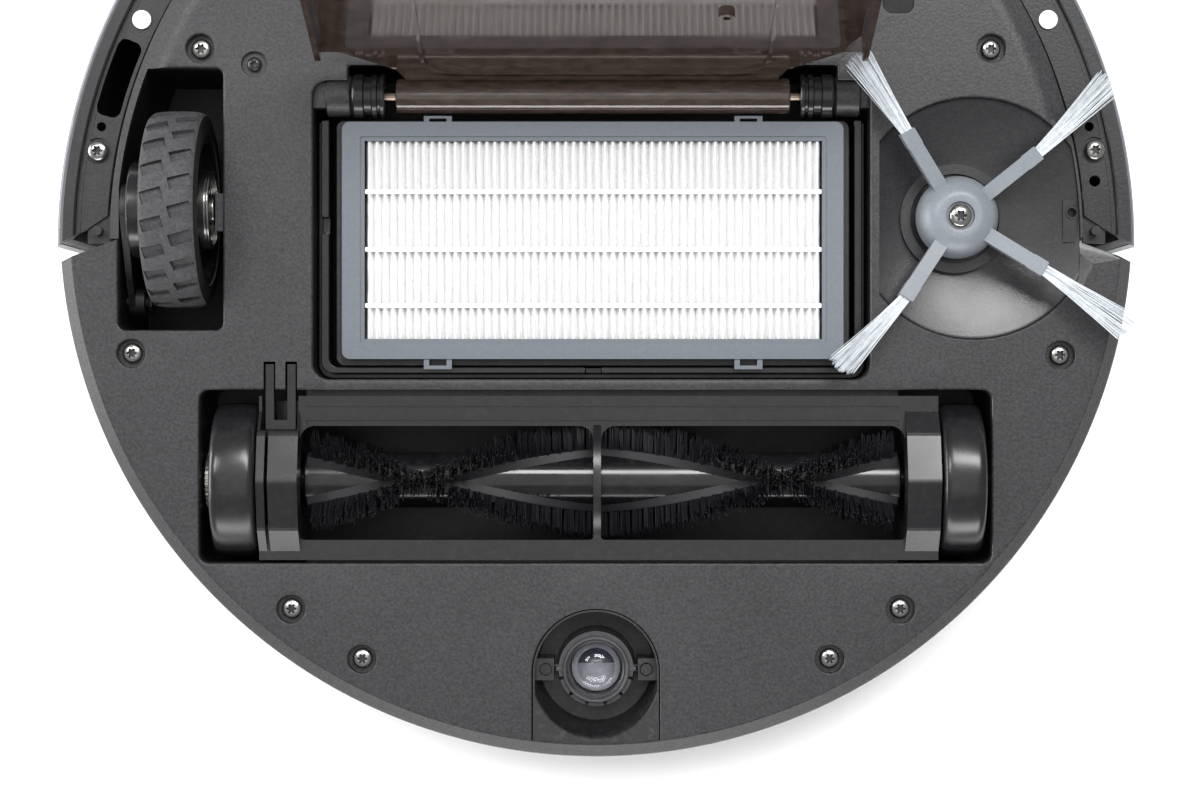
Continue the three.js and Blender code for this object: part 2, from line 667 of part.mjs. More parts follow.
function brushGuard() {
  const [x0, x1] = GUARD_X;
  const [low, high] = [BASE_Z - 3.4, BASE_Z - 0.3];
  const rib = slabX(archProfile(BRUSH_R + 0.9), -0.8, 1.6).intersect(box(-5, 5, -120, -40, low, 90));
  const frame = box(x0, x1, GUARD_Y[0], GUARD_Y[1], low, high);
  const windows = WINDOWS.map(([a, b]) => box(a, b, ...WINDOW_Y, low - 1, high + 1));
  const lowWindow = box(-0.9, 1.7, ROLLER.y - 22, ROLLER.y + 22, low - 1, high + 1);
  const notch = box(-106.9, -95.2, -67.6, -50, 60, 90);
  const open = union([
    box(x0 - 1, WINDOWS[0][0] + 0.1, ROLLER.y - 14, ROLLER.y + 14, low - 1, high + 1),
    box(WINDOWS[1][1] - 0.1, x1 + 1, ROLLER.y - 14, ROLLER.y + 14, low - 1, high + 1),
  ]);
  const ends = [
    slabX(archProfile(12.6), x0, x0 + 2.6),
    slabX(archProfile(12.6), x0 + 3.7, WINDOWS[0][0]),
    slabX(archProfile(12.6), WINDOWS[1][1], x1),
  ];
  return frame
    .subtract(union([...windows, lowWindow, open]))
    .add(union([rib, ...ends]))
    .subtract(notch);
}

function guardLatch() {
  const [low, high] = [BASE_Z - 4.6, BASE_Z - 1];
  const bar = box(LATCH_FINGERS[0] - 1.3, LATCH_FINGERS[1] + 1.3, -67.3, -64.3, low, high);
  const fingers = LATCH_FINGERS.map((x) => box(x - 1.3, x + 1.3, -65, -46.4, low, high));
  return union([bar, ...fingers]);
}

function drum(x0, x1) {
  const r = DRUM_R;
  return turnedX([
    [3.3, x0], [r - 1.6, x0], [r - 0.4, x0 + 1.5], [r, (x0 + x1) / 2], [r - 0.4, x1 - 1.5], [r - 1.6, x1],
    [3.3, x1], [3.3, x0],
  ], ROLLER.y, ROLLER.z, 30);
}

function drumGear() {
  const teeth = 16;
  const disc = rod(8.1, -125.9, -122.9, ROLLER.y, ROLLER.z, 16);
  const cogs = [];
  for (let i = 0; i < teeth; i += 1) {
    const cog = new THREE.BoxGeometry(3, 1.3, 2);
    cog.translate(-124.4, 0, 7.9);
    cog.rotateX((2 * Math.PI * i) / teeth);
    cogs.push(solid(cog.translate(0, ROLLER.y, ROLLER.z)));
  }
  const boss = rod(5.5, -126.7, -124.5, ROLLER.y, ROLLER.z, 20);
  return union([disc, ...cogs, boss]).subtract(rod(3.3, -128, -122, ROLLER.y, ROLLER.z, 14));
}

// ---------------------------------------------------------------- side brush
function sideBrush() {
  const top = BASE_Z + 9;
  const dome = turnedZ([
    [0, 60], [4, 60], [4, BASE_Z - 2.5], [HUB.r - 1, BASE_Z - 2.5], [HUB.r, BASE_Z - 1], [HUB.r, BASE_Z + 2],
    [HUB.r - 1.2, BASE_Z + 5], [HUB.r - 4.2, top - 0.8], [6.8, top], [4.6, top], [4.4, top - 2],
    [1.6, top - 2], [1.6, top - 9], [0, top - 9],
  ], HUB.x, HUB.y, 20);
  const arms = ARM_ANGLES.map((angle) => {
    const run = ARM_R[1] - ARM_R[0];
    const rise = ARM_Z[1] - ARM_Z[0];
    const arm = new THREE.BoxGeometry(Math.hypot(run, rise), 4.5, 4);
    arm.rotateY(-Math.atan2(rise, run));
    arm.translate((ARM_R[0] + ARM_R[1]) / 2 - 0.2, 0, (ARM_Z[0] + ARM_Z[1]) / 2);
    return solid(arm.rotateZ(deg(angle)).translate(HUB.x, HUB.y, 0));
  });
  return union([dome, ...arms]);
}

function tuft(angle, [reach, lean]) {
  const r0 = TUFT_ROOT;
  const fan = polygon([
    [r0, -2.1], [reach - 2, lean - 6], [reach, lean], [reach - 2, lean + 6], [r0, 2.1],
  ]);
  const geometry = new THREE.ExtrudeGeometry(fan, { depth: 2, bevelEnabled: false });
  geometry.translate(-r0, 0, -1);
  geometry.rotateY(-0.09);
  geometry.translate(r0 + 0.3, 0, ARM_Z[1] + 0.4);
  return solid(geometry.rotateZ(deg(angle)).translate(HUB.x, HUB.y, 0));
}

// ---------------------------------------------------------------- bin and filter
// A ledge round the bin that the lid closes on, standing in a channel of its own
function binCollar() {
  const foot = prism(roundedRect(grown(RECESS.x, -GAP), [RECESS.y[0] + GAP, 60], RECESS.r), 57, 61, 4);
  const inner = roundedRect(grown(RECESS.x, -GROOVE), [RECESS.y[0] + GROOVE, 60], RECESS.r - 1);
  const ledge = prism(inner, 60, BIN.top - 0.2, 4);
  const room = prism(roundedRect([BIN.x[0] - 2.2, BIN.x[1] + 1.4], [BIN.y[0] - GAP, 70], 3), 50, 80, 4);
  const notches = union([box(-3.5, 1.9, -52, -45, 64, 70), box(-95, -80, -4, 1.3, 64, 70)]);
  return foot.add(ledge)
    .subtract(room)
    .subtract(notches)
    .intersect(box(-100, 100, -60, BIN.y[1], 50, 80));
}

function dustBin() {
  const body = prism(roundedRect(BIN.x, BIN.y, 3), BIN.low, BIN.top, 4);
  const inside = [grown(BIN.x, -6), grown(BIN.y, -4.5)];
  return body.subtract(prism(roundedRect(inside[0], inside[1], 3), BIN.low + 2, BIN.top + 1, 4));
}

function filterFrame() {
  const low = BIN.top + GAP;
  const loops = [-50.9, 49.1].flatMap((x) => [
    box(x - 4.5, x + 4.5, FILTER.y[1] - 1, FILTER.y[1] + 1.9, low, FILTER.top - 0.6)
      .subtract(box(x - 2.6, x + 2.6, FILTER.y[1] - 0.2, FILTER.y[1] + 1, low - 1, FILTER.top)),
    box(x - 4.5, x + 4.5, FILTER.y[0] - 3.3, FILTER.y[0] + 1, low, FILTER.top - 0.6)
      .subtract(box(x - 2.6, x + 2.6, FILTER.y[0] - 2, FILTER.y[0] - 0.2, low - 1, FILTER.top)),
  ]);
  const [ribLow, ribHigh] = [FILTER.top - 1.1, FILTER.top - 0.3];
  const ribs = MEDIA.ribs.map((y) => box(...grown(MEDIA.x, 1), y - 0.75, y + 0.75, ribLow, ribHigh));
  return prism(roundedRect(FILTER.x, FILTER.y, 2.5), low, FILTER.top, 3)
    .add(union(loops))
    .subtract(box(...MEDIA.x, ...MEDIA.y, low - 1, FILTER.top + 1))
    .add(union(ribs));
}

function filterPleats() {
  const [x0, x1] = grown(MEDIA.x, -GAP);
  const pitch = (x1 - x0) / MEDIA.pleats;
  const [low, peak, valley] = [58, FILTER.top - 1.4, FILTER.top - 8];
  const points = [[x0, low]];
  for (let i = 0; i < MEDIA.pleats; i += 1) {
    points.push([x0 + i * pitch, valley]);
    points.push([x0 + (i + 0.5) * pitch, peak]);
  }
  points.push([x1, valley]);
  points.push([x1, low]);
  const [y0, y1] = grown(MEDIA.y, -GAP);
  const options = { depth: y1 - y0, bevelEnabled: false };
  const geometry = new THREE.ExtrudeGeometry(polygon(points), options);
  return solid(geometry.rotateX(Math.PI / 2).translate(0, y1, 0));
}

// The lid is drawn closed about its hinge axis (free edge towards -Y), then swung open
function swungOpen(body) {
  const { vertProperties, triVerts } = body.getMesh();
  const geometry = new THREE.BufferGeometry();
  geometry.setAttribute('position', new THREE.BufferAttribute(new Float32Array(vertProperties), 3));
  geometry.setIndex(new THREE.BufferAttribute(new Uint32Array(triVerts), 1));
  geometry.rotateX(deg(LID_OPEN - 180));
  return solid(geometry.translate(0, HINGE.y, HINGE.z));
}

function binLid() {
  const [x0, x1] = LID_X;
  const top = BASE_Z - HINGE.z; // outer face's distance from the hinge axis
  const thick = 2.2;
  const corner = { w: 24, flat: 7, t: 23.6, inner: 11 };
  const [near, far] = [-LID_T[0], -LID_T[1]];
  const plan = polygon([
    [x0 + 2, far], [x1 - 2, far], [x1, far + 2], [x1, -corner.t],
    [x1 - corner.flat, -corner.t], [x1 - corner.w, -corner.inner], [x1 - corner.w - 2, near],
    [x0 + corner.w + 2, near], [x0 + corner.w, -corner.inner], [x0 + corner.flat, -corner.t],
    [x0, -corner.t], [x0, far + 2],
  ]);
  const panel = prism(plan, top - thick, top);
  const flangeLow = top - thick - 4.5;
  const flange = [
    box(x0, x0 + 1.8, far + 2, -corner.t - 3, flangeLow, top - 0.2),
    box(x1 - 1.8, x1, far + 2, -corner.t - 3, flangeLow, top - 0.2),
    box(x0 + 2, x1 - 2, far, far + 1.6, top - 3.6, top - 0.2),
    box(x0 + corner.w + 2.5, x1 - corner.w - 2.5, near - 2.5, near, top - 3.5, top - 0.2),
  ];
  const inside = top - thick;
  const rib = prism(roundedRect([-55.7, 55.4], [-78, -9], 12), inside - 0.9, top - 0.5, 5)
    .subtract(prism(roundedRect([-54.5, 54.2], [-76.8, -10.2], 10.8), inside - 2, inside, 5));
  const boss = post(2.6, inside - 1.6, top - 0.5, 39.8, -50, 14);
  const web = box(x0 + corner.w + 2.5, x1 - corner.w - 2.5, near - 1, -3.6, top - 3.5, top - 2.1);
  return swungOpen(union([panel, ...flange, rib, boss, web]))
    .add(rod(5.75, -64.3, 62.4, HINGE.y, HINGE.z, 28))
    .subtract(rod(1.8, -66, 64, HINGE.y, HINGE.z, 12));
}

function damper(x0, x1, outward) {
  const lip = outward > 0 ? [x1 - 2.2, x1] : [x0, x0 + 2.2];
  return rod(7.1, x0, x1, HINGE.y, HINGE.z, 28)
    .subtract(rod(7.2, Math.min(...lip) - outward * 4, Math.max(...lip) - outward * 4, HINGE.y, HINGE.z, 28)
      .subtract(rod(6.3, -100, 100, HINGE.y, HINGE.z, 28)))
    .subtract(rod(1.8, x0 - 1, x1 + 1, HINGE.y, HINGE.z, 12));
}

function hingePin() {
  return rod(1.5, -85.5, 83.7, HINGE.y, HINGE.z, 12);
}

// ---------------------------------------------------------------- rear sensor
function sensorDeck() {
  const low = 50;
  const wellShape = new THREE.Shape();
  wellShape.absarc(0, SENSOR.y + 0.1, SENSOR.r - 1.4, 0, Math.PI, false);
  wellShape.absarc(0, SENSOR.y - 2.1, SENSOR.r - 1.4, Math.PI, 2 * Math.PI, false);
  const well = prism(wellShape, low + 2, BASE_Z + 5, 12);
  const sides = [-16.2, 16.2];
  const deep = grown([SENSOR.pinY, SENSOR.pinY], 3.5);
  const blocks = sides.map((x) => box(x - 3.4, x + 3.4, ...deep, low, BASE_Z - 5));
  const pegs = sides.map((x) => post(1.7, BASE_Z - 5.5, BASE_Z - 3.6, x, SENSOR.pinY, 12));
  const pinHole = rod(0.95, -18.5, 18.5, SENSOR.pinY, SENSOR.pinZ, 8);
  return sensorSlot(GAP, low, BASE_Z - GAP)
    .subtract(well)
    .add(union([...blocks, ...pegs]))
    .subtract(pinHole);
}

function sensorBarrel() {
  const flange = BASE_Z - 6.4;
  const barrel = turnedZ([
    [0, 55.5], [9.5, 55.5], [10.5, 57], [10.5, flange - 2], [12.1, flange - 2], [12.1, flange],
    [10.5, flange], [10.5, BASE_Z - 4], [8.9, BASE_Z - 4],
    [8.3, SENSOR.lensLow - GAP], [0, SENSOR.lensLow - GAP],
  ], 0, SENSOR.pinY, 20);
  return barrel.add(rod(0.65, -18.2, 18.2, SENSOR.pinY, SENSOR.pinZ, 8));
}

function sensorLens() {
  const low = SENSOR.lensLow;
  return turnedZ([
    [0, low], [7.9, low], [7.9, low + 2], [6, low + 4.1], [3, low + 5.1], [0, low + 5.4],
  ], 0, SENSOR.pinY, 16);
}

// ---------------------------------------------------------------- inside
function batteryPack() {
  const pack = prism(roundedRect([-88, -26], [-140, -116], 4), 12, 56, 4);
  const cells = [-77, -57, -37].map((x) => box(x - 0.6, x + 0.6, -141, -115, 14, 54));
  const plug = box(-27, -22.5, -132, -124, 40, 50);
  return pack.subtract(union(cells).subtract(box(-90, 0, -139.3, -116.7, 0, 60))).add(plug);
}

function mainBoard() {
  const board = box(-78, 70, -44, 36, 12, 13.6);
  const chips = [[-50, -10, 9], [-20, 12, 7], [18, -18, 8], [46, 14, 6]];
  return union([board, ...chips.map(([x, y, h]) => box(x - h, x + h, y - h, y + h, 13.4, 15.4)),
    box(52, 66, -40, -30, 13.4, 20)]);
}

const FAN = { x: 58, y: -134.5 };
const BLADES = 7;

function fanHousing() {
  const { x, y } = FAN;
  return turnedZ([
    [0, 12], [21, 12], [21, 56], [9, 56], [9, 52], [18, 50], [18, 16], [0, 16],
  ], x, y, 20).subtract(box(x - 30, x - 17, y + 2, y + 14, 24, 46));
}

function fanImpeller() {
  const { x, y } = FAN;
  const blades = [];
  for (let i = 0; i < BLADES; i += 1) {
    const blade = new THREE.BoxGeometry(11, 1.4, 16);
    blade.rotateZ(0.5).translate(9.6, 0, 34).rotateZ((2 * Math.PI * i) / BLADES);
    blades.push(solid(blade.translate(x, y, 0)));
  }
  return union([post(15.6, 24, 26.4, x, y, 18), post(5, 20, 44, x, y, 10), ...blades]);
}

function brushMotor() {
  const body = rod(11, 96, 130, -41, 45, 24);
  return union([body, rod(5, 129, 133, -41, 45, 16), rod(1.5, 132, 137, -41, 45, 10)]);
}

function sideBrushMotor() {
  const low = 24;
  const top = DISH.floor - 1.8 - GAP;
  return turnedZ([
    [0, low], [14, low], [14, 52], [17, 52], [17, top], [4.4, top], [4.4, 58], [0, 58],
  ], HUB.x, HUB.y, 28);
}

// ---------------------------------------------------------------- assembly
add('base_plate', basePlate(), charcoal);
add('wheel_housing', wheelHousing(), blackPlastic);
add('brush_housing', brushHousing(), blackPlastic);
add('bin_housing', binHousing(), blackPlastic);
add('side_wall', sideWall(), blackPlastic);
add('top_cover', topCover(), glossBlack);
add('power_button', powerButton(), silverStrip);
SCREWS.forEach(([x, y], i) => add(`case_screw_${i + 1}`, caseScrew(x, y, 3.2, BASE_Z - 1.2, 11), steel));
add('small_screw', caseScrew(...SMALL_SCREW, 2.3, BASE_Z + 0.7, 8), darkSteel);

add('bumper_shell', bumperShell(), blackPlastic);
add('bumper_strip', bumperStrip(), silverStrip);
add('bumper_plug_left', bumperPlug(PLUGS[0]), whitePlug);
add('bumper_plug_right', bumperPlug(PLUGS[1]), whitePlug);
add('bumper_screw_left', caseScrew(...BUMPER_SCREWS[0], 3.2, FLANGE[1] + 2.3, 8), steel);
add('bumper_screw_right', caseScrew(...BUMPER_SCREWS[1], 3.2, FLANGE[1] + 2.3, 8), steel);
add('bumper_spring_left', bumperSpring(125), springSteel);
add('bumper_spring_right', bumperSpring(55), springSteel);

add('swing_arm', swingArm(), blackPlastic);
add('arm_spring', armSpring(), springSteel);
add('wheel_motor', wheelMotor(), blackPlastic);
add('tyre', tyre(), tyreRubber);
add('wheel_rim', wheelRim(), blackPlastic);
add('wheel_axle', wheelAxle(), steel);

add('brush_core', brushCore(), blackPlastic);
add('brush_bristles', brushBristles(), bristleBlue);
add('brush_guard', brushGuard(), blackPlastic);
add('guard_latch', guardLatch(), blackPlastic);
add('drum_left', drum(-122.6, -108.3), glossBlack);
add('drum_gear', drumGear(), steel);
add('drum_right', drum(110.3, 123.9), glossBlack);

add('side_brush', sideBrush(), brushGrey);
ARM_ANGLES.forEach((angle, i) => add(`side_brush_tuft_${i + 1}`, tuft(angle, TUFT_TIPS[i]), nylonGrey));
add('side_brush_screw', caseScrew(HUB.x, HUB.y, 3.6, BASE_Z + 9.4, 9), steel);

add('bin_collar', binCollar(), blackPlastic);
add('dust_bin', dustBin(), smoke);
add('filter_frame', filterFrame(), filterGrey);
add('filter_pleats', filterPleats(), filterWhite);
add('bin_lid', binLid(), smoke);
add('hinge_pin', hingePin(), steel);
add('damper_left', damper(-78.4, -67.8, 1), blackPlastic);
add('damper_right', damper(65.6, 76.5, -1), blackPlastic);

add('sensor_deck', sensorDeck(), blackPlastic);
add('sensor_barrel', sensorBarrel(), blackPlastic);
add('sensor_lens', sensorLens(), lensGlass);

add('battery_pack', batteryPack(), batteryBlue);
add('main_board', mainBoard(), boardGreen);
add('fan_housing', fanHousing(), blackPlastic);
add('fan_impeller', fanImpeller(), blackPlastic);
add('brush_motor', brushMotor(), steel);
add('side_brush_motor', sideBrushMotor(), steel);

export default vacuum;
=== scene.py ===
"""Looks of a robot vacuum lying on its back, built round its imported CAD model. Lengths here are in mm."""
import math
import random

import bmesh
import bpy
from mathutils import Matrix, Vector


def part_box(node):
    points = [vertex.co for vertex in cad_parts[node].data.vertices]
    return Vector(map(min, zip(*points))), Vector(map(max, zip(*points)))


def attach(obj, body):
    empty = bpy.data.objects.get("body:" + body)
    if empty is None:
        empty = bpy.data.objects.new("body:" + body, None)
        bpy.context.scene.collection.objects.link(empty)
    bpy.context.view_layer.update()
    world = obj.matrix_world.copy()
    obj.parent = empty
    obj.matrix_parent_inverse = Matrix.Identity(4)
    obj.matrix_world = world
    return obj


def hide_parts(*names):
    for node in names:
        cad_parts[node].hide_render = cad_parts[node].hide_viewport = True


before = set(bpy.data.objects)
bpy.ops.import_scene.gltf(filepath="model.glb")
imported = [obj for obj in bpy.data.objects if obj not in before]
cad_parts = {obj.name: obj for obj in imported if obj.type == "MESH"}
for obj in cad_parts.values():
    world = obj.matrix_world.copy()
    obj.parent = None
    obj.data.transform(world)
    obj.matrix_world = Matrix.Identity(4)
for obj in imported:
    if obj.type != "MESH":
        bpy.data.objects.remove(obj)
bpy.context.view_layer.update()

MM = 0.001


# ------------------------------------------------------------------ places, from the frame
def span(node):
    """(low, high) of a CAD node on each axis."""
    low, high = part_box(node)
    return tuple((low[i] / MM, high[i] / MM) for i in range(3))


def middle(node, axis):
    low, high = span(node)[axis]
    return (low + high) / 2


BASE_Z = span("sensor_deck")[2][1] + 0.3
BODY_R = -span("side_wall")[1][0]
COVER = span("top_cover")[2][1]
PLATE_LOW = BASE_Z - 3.2
CHAMFER_W, CHAMFER_H = 4.5, 4.0
SKIRT_LOW = BASE_Z - 10
FRONT_R, FRONT_Y = 156.0, -5.8
BEVEL_W, BEVEL_H = 9.0, 2.4
NOTCH, NOTCH_OUT = (152.3, -6.1), -14.7  # its inner corner, and the y of its outer one
FRONT_START = -2.8  # where the front edge's arc begins
WALL, FRONT_WALL_R = 2.5, 150
BUMPER_Y, BUMPER_IN, BUMPER_RIM, BUMPER_OUT = -7.0, 156.9, 167.6, 172.2
STRIP_R = span("bumper_strip")[0][1]
FLANGE = (BASE_Z - 6.3, BASE_Z - 3.8)
LONG_ARC = 320  # segments of the outline's long arcs
UNDER, OVER = 60, BASE_Z + 5  # heights where cutters start and end, clear of the plate

AXLE = (middle("tyre", 1), middle("tyre", 2))
TYRE_X = span("tyre")[0]
TYRE_R = (span("tyre")[2][1] - span("tyre")[2][0]) / 2
PIVOT = (span("swing_arm")[1][0] + 5, span("swing_arm")[2][0] + 5)
ROLLER = (middle("brush_core", 1), middle("brush_core", 2))
BRUSH_R = (span("brush_bristles")[2][1] - span("brush_bristles")[2][0]) / 2
BRUSH_X = tuple(a + b for a, b in zip(span("brush_bristles")[0], (-0.2, 0.2)))
HUB = (middle("side_brush_screw", 0), middle("side_brush_screw", 1))
HINGE = (middle("hinge_pin", 1), middle("hinge_pin", 2))
SENSOR_Y = middle("sensor_lens", 1)
ARCH_Y = -145.3  # centre of the arch round the sensor
PIN_Z = BASE_Z - 16
SCREWS = [(middle(f"case_screw_{i}", 0), middle(f"case_screw_{i}", 1)) for i in range(1, 9)]
ARM_ANGLES = (39, 123, 236, 327)

WELL_X, WELL_Y, WELL_FLOOR, WELL_ARC = (-153, -119.4), (-35.5, 48.3), BASE_Z - 55, 154
BAY_X, BAY_Y, BAY_FLOOR = (-127, 126.7), (-110.1, -54.7), BASE_Z - 40
RECESS_X, RECESS_Y, RECESS_FLOOR = (-90.7, 87.8), (-51.2, 44.5), BASE_Z - 48
TROUGH_X, TROUGH_Y = (-79.4, 77.4), 49.4
SMALL_SCREW = (middle("small_screw", 0), middle("small_screw", 1))
CLIFF_WINDOW = (92, 101.8), (66, 84)
LATCH_FINGERS = (-104.5, -97.55)
DISH, DISH_R, DISH_FLOOR, DISH_REACH = (121, 0.3), 39.2, BASE_Z - 7, 155.2
PAD_HOLE = (152.9, 2.3)


# ------------------------------------------------------------------ mesh tools
def mesh_object(bm, turn_out=True):
    if turn_out:
        bmesh.ops.recalc_face_normals(bm, faces=bm.faces)
    mesh = bpy.data.meshes.new("shape")
    bm.to_mesh(mesh)
    bm.free()
    obj = bpy.data.objects.new("shape", mesh)
    bpy.context.scene.collection.objects.link(obj)
    return obj


def sides(bm, rings):
    """Faces between rings of equal length."""
    for low, high in zip(rings, rings[1:]):
        for k in range(len(low)):
            n = (k + 1) % len(low)
            bm.faces.new((low[k], low[n], high[n], high[k]))


def arc(cx, cy, r, start, end, steps=16):
    """Points on an arc, angles in degrees."""
    angles = [math.radians(start + (end - start) * i / steps) for i in range(steps + 1)]
    return [(cx + r * math.cos(a), cy + r * math.sin(a)) for a in angles]


def round_rect(xs, ys, r, steps=8):
    (x0, x1), (y0, y1) = xs, ys
    return (arc(x1 - r, y0 + r, r, -90, 0, steps) + arc(x1 - r, y1 - r, r, 0, 90, steps)
            + arc(x0 + r, y1 - r, r, 90, 180, steps) + arc(x0 + r, y0 + r, r, 180, 270, steps))


def loft(levels, axis="Z"):
    """A closed skin through outlines of equal length, each at its height. Along X their pairs are y and z."""
    bm = bmesh.new()
    rings = []
    for outline, h in levels:
        points = [(a, b, h) if axis == "Z" else (h, a, b) for a, b in outline]
        rings.append([bm.verts.new(Vector(point) * MM) for point in points])
    bm.faces.new(rings[0])
    bm.faces.new(rings[-1])
    sides(bm, rings)
    return mesh_object(bm)


def prism(outline, low, high, axis="Z"):
    """An outline raised from low to high."""
    return loft([(outline, low), (outline, high)], axis)


def box(xs, ys, zs):
    return prism([(xs[0], ys[0]), (xs[1], ys[0]), (xs[1], ys[1]), (xs[0], ys[1])], *zs)


def lathe(profile, axis="Z", centre=(0, 0, 0), segments=96, closed=False):
    """[radius, height] pairs turned about an axis. The profile ends on the axis, or is closed on itself."""
    bm = bmesh.new()
    rings = []
    for r, h in profile:
        count = 1 if r == 0 else segments
        angles = [2 * math.pi * k / segments for k in range(count)]
        rings.append([bm.verts.new(Vector((r * math.cos(a), r * math.sin(a), h)) * MM) for a in angles])
    pairs = list(zip(rings, rings[1:]))
    if closed:
        pairs.append((rings[-1], rings[0]))
    for low, high in pairs:
        for k in range(segments):
            n = k + 1
            corners = (low[k % len(low)], low[n % len(low)], high[n % len(high)], high[k % len(high)])
            corners = list(dict.fromkeys(corners))
            if len(corners) > 2:
                bm.faces.new(corners)
    if axis == "X":
        bm.transform(Matrix(((0, 0, 1, 0), (1, 0, 0, 0), (0, 1, 0, 0), (0, 0, 0, 1))))
    bm.transform(Matrix.Translation(Vector(centre) * MM))
    return mesh_object(bm)


def rod(r, x0, x1, y, z, segments=48):
    return lathe([(0, x0), (r, x0), (r, x1), (0, x1)], "X", (0, y, z), segments)


def post(r, z0, z1, x, y, segments=48):
    return lathe([(0, z0), (r, z0), (r, z1), (0, z1)], "Z", (x, y, 0), segments)


def ring(inner, outer, z0, z1, x=0, y=0, segments=96):
    return lathe([(inner, z0), (outer, z0), (outer, z1), (inner, z1)], "Z", (x, y, 0), segments, True)


def rolled(edge, steps=5):
    """(outward, height) steps of an opening's rounded upper edge at the base plane."""
    turns = [math.pi / 2 * k / steps for k in range(steps + 1)]
    return [(edge * (1 - math.cos(t)), BASE_Z - edge + edge * math.sin(t)) for t in turns]


def opening(outline, low, edge=0.8):
    """A cutter whose outline, a function of its growth, flares into a rounded edge at the base plane."""
    levels = [(outline(0), low)] + [(outline(out), z) for out, z in rolled(edge)]
    return loft(levels + [(outline(edge), OVER)])


def round_opening(r, low, x, y, edge=0.5):
    profile = [(0, low), (r, low)] + [(r + out, z) for out, z in rolled(edge)]
    profile += [(r + edge, OVER), (0, OVER)]
    return lathe(profile, centre=(x, y, 0), segments=64)


def apply(obj):
    graph = bpy.context.evaluated_depsgraph_get()
    mesh = bpy.data.meshes.new_from_object(obj.evaluated_get(graph))
    obj.modifiers.clear()
    obj.data = mesh
    return obj


def combine(obj, others, operation):
    for other in others:
        step = obj.modifiers.new("step", "BOOLEAN")
        step.operation = operation
        step.solver = "MANIFOLD"
        step.object = other
    apply(obj)
    for other in others:
        bpy.data.objects.remove(other)
    return obj


def cut(obj, *others):
    return combine(obj, others, "DIFFERENCE")


def add(obj, *others):
    return combine(obj, others, "UNION")


def keep(obj, *others):
    return combine(obj, others, "INTERSECT")


def smooth(obj, angle=32, bevel=0.0, segments=2):
    for face in obj.data.polygons:
        face.use_smooth = True
    obj.data.set_sharp_from_angle(angle=math.radians(angle))
    if bevel:
        edge = obj.modifiers.new("edge", "BEVEL")
        edge.width = bevel * MM
        edge.segments = segments
        edge.limit_method = "ANGLE"
        edge.angle_limit = math.radians(angle)
        edge.harden_normals = True
    flat = obj.modifiers.new("flat", "WEIGHTED_NORMAL")
    flat.keep_sharp = True
    flat.weight = 80
    return obj


def dress(obj, material, body, node=None, bevel=0.0, angle=32, segments=2,
          name=""):
    """Finishes a piece: its name, edges, material and body, and the CAD node that it stands for."""
    obj.name = name or f"{node}_skin"
    smooth(obj, angle, bevel, segments)
    obj.data.materials.clear()
    obj.data.materials.append(material)
    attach(obj, body)
    if node:
        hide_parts(node)
    return obj


def filaments(strands, radius, count=4):
    """Thin bent bars. Each strand is a list of points in mm; it tapers to its tip."""
    bm = bmesh.new()
    for points in strands:
        points = [Vector(p) for p in points]
        along = (points[-1] - points[0]).normalized()
        side = along.orthogonal().normalized()
        other = along.cross(side)
        rings = []
        for i, p in enumerate(points):
            r = radius * (1 - 0.45 * i / (len(points) - 1))
            angles = [2 * math.pi * k / count for k in range(count)]
            offsets = [side * (r * math.cos(a)) + other * (r * math.sin(a)) for a in angles]
            rings.append([bm.verts.new((p + offset) * MM) for offset in offsets])
        sides(bm, rings)
        bm.faces.new(rings[0][::-1])
        bm.faces.new(rings[-1])
    return mesh_object(bm, turn_out=False)


# ------------------------------------------------------------------ materials
def linear(rgb):
    return tuple(((c / 255 + 0.055) / 1.055) ** 2.4 if c > 10 else c / 255 / 12.92 for c in rgb) + (1.0,)


BROAD_SHARE = 0.12  # of the broad noise in a surface's tone; the rest is its fine grain


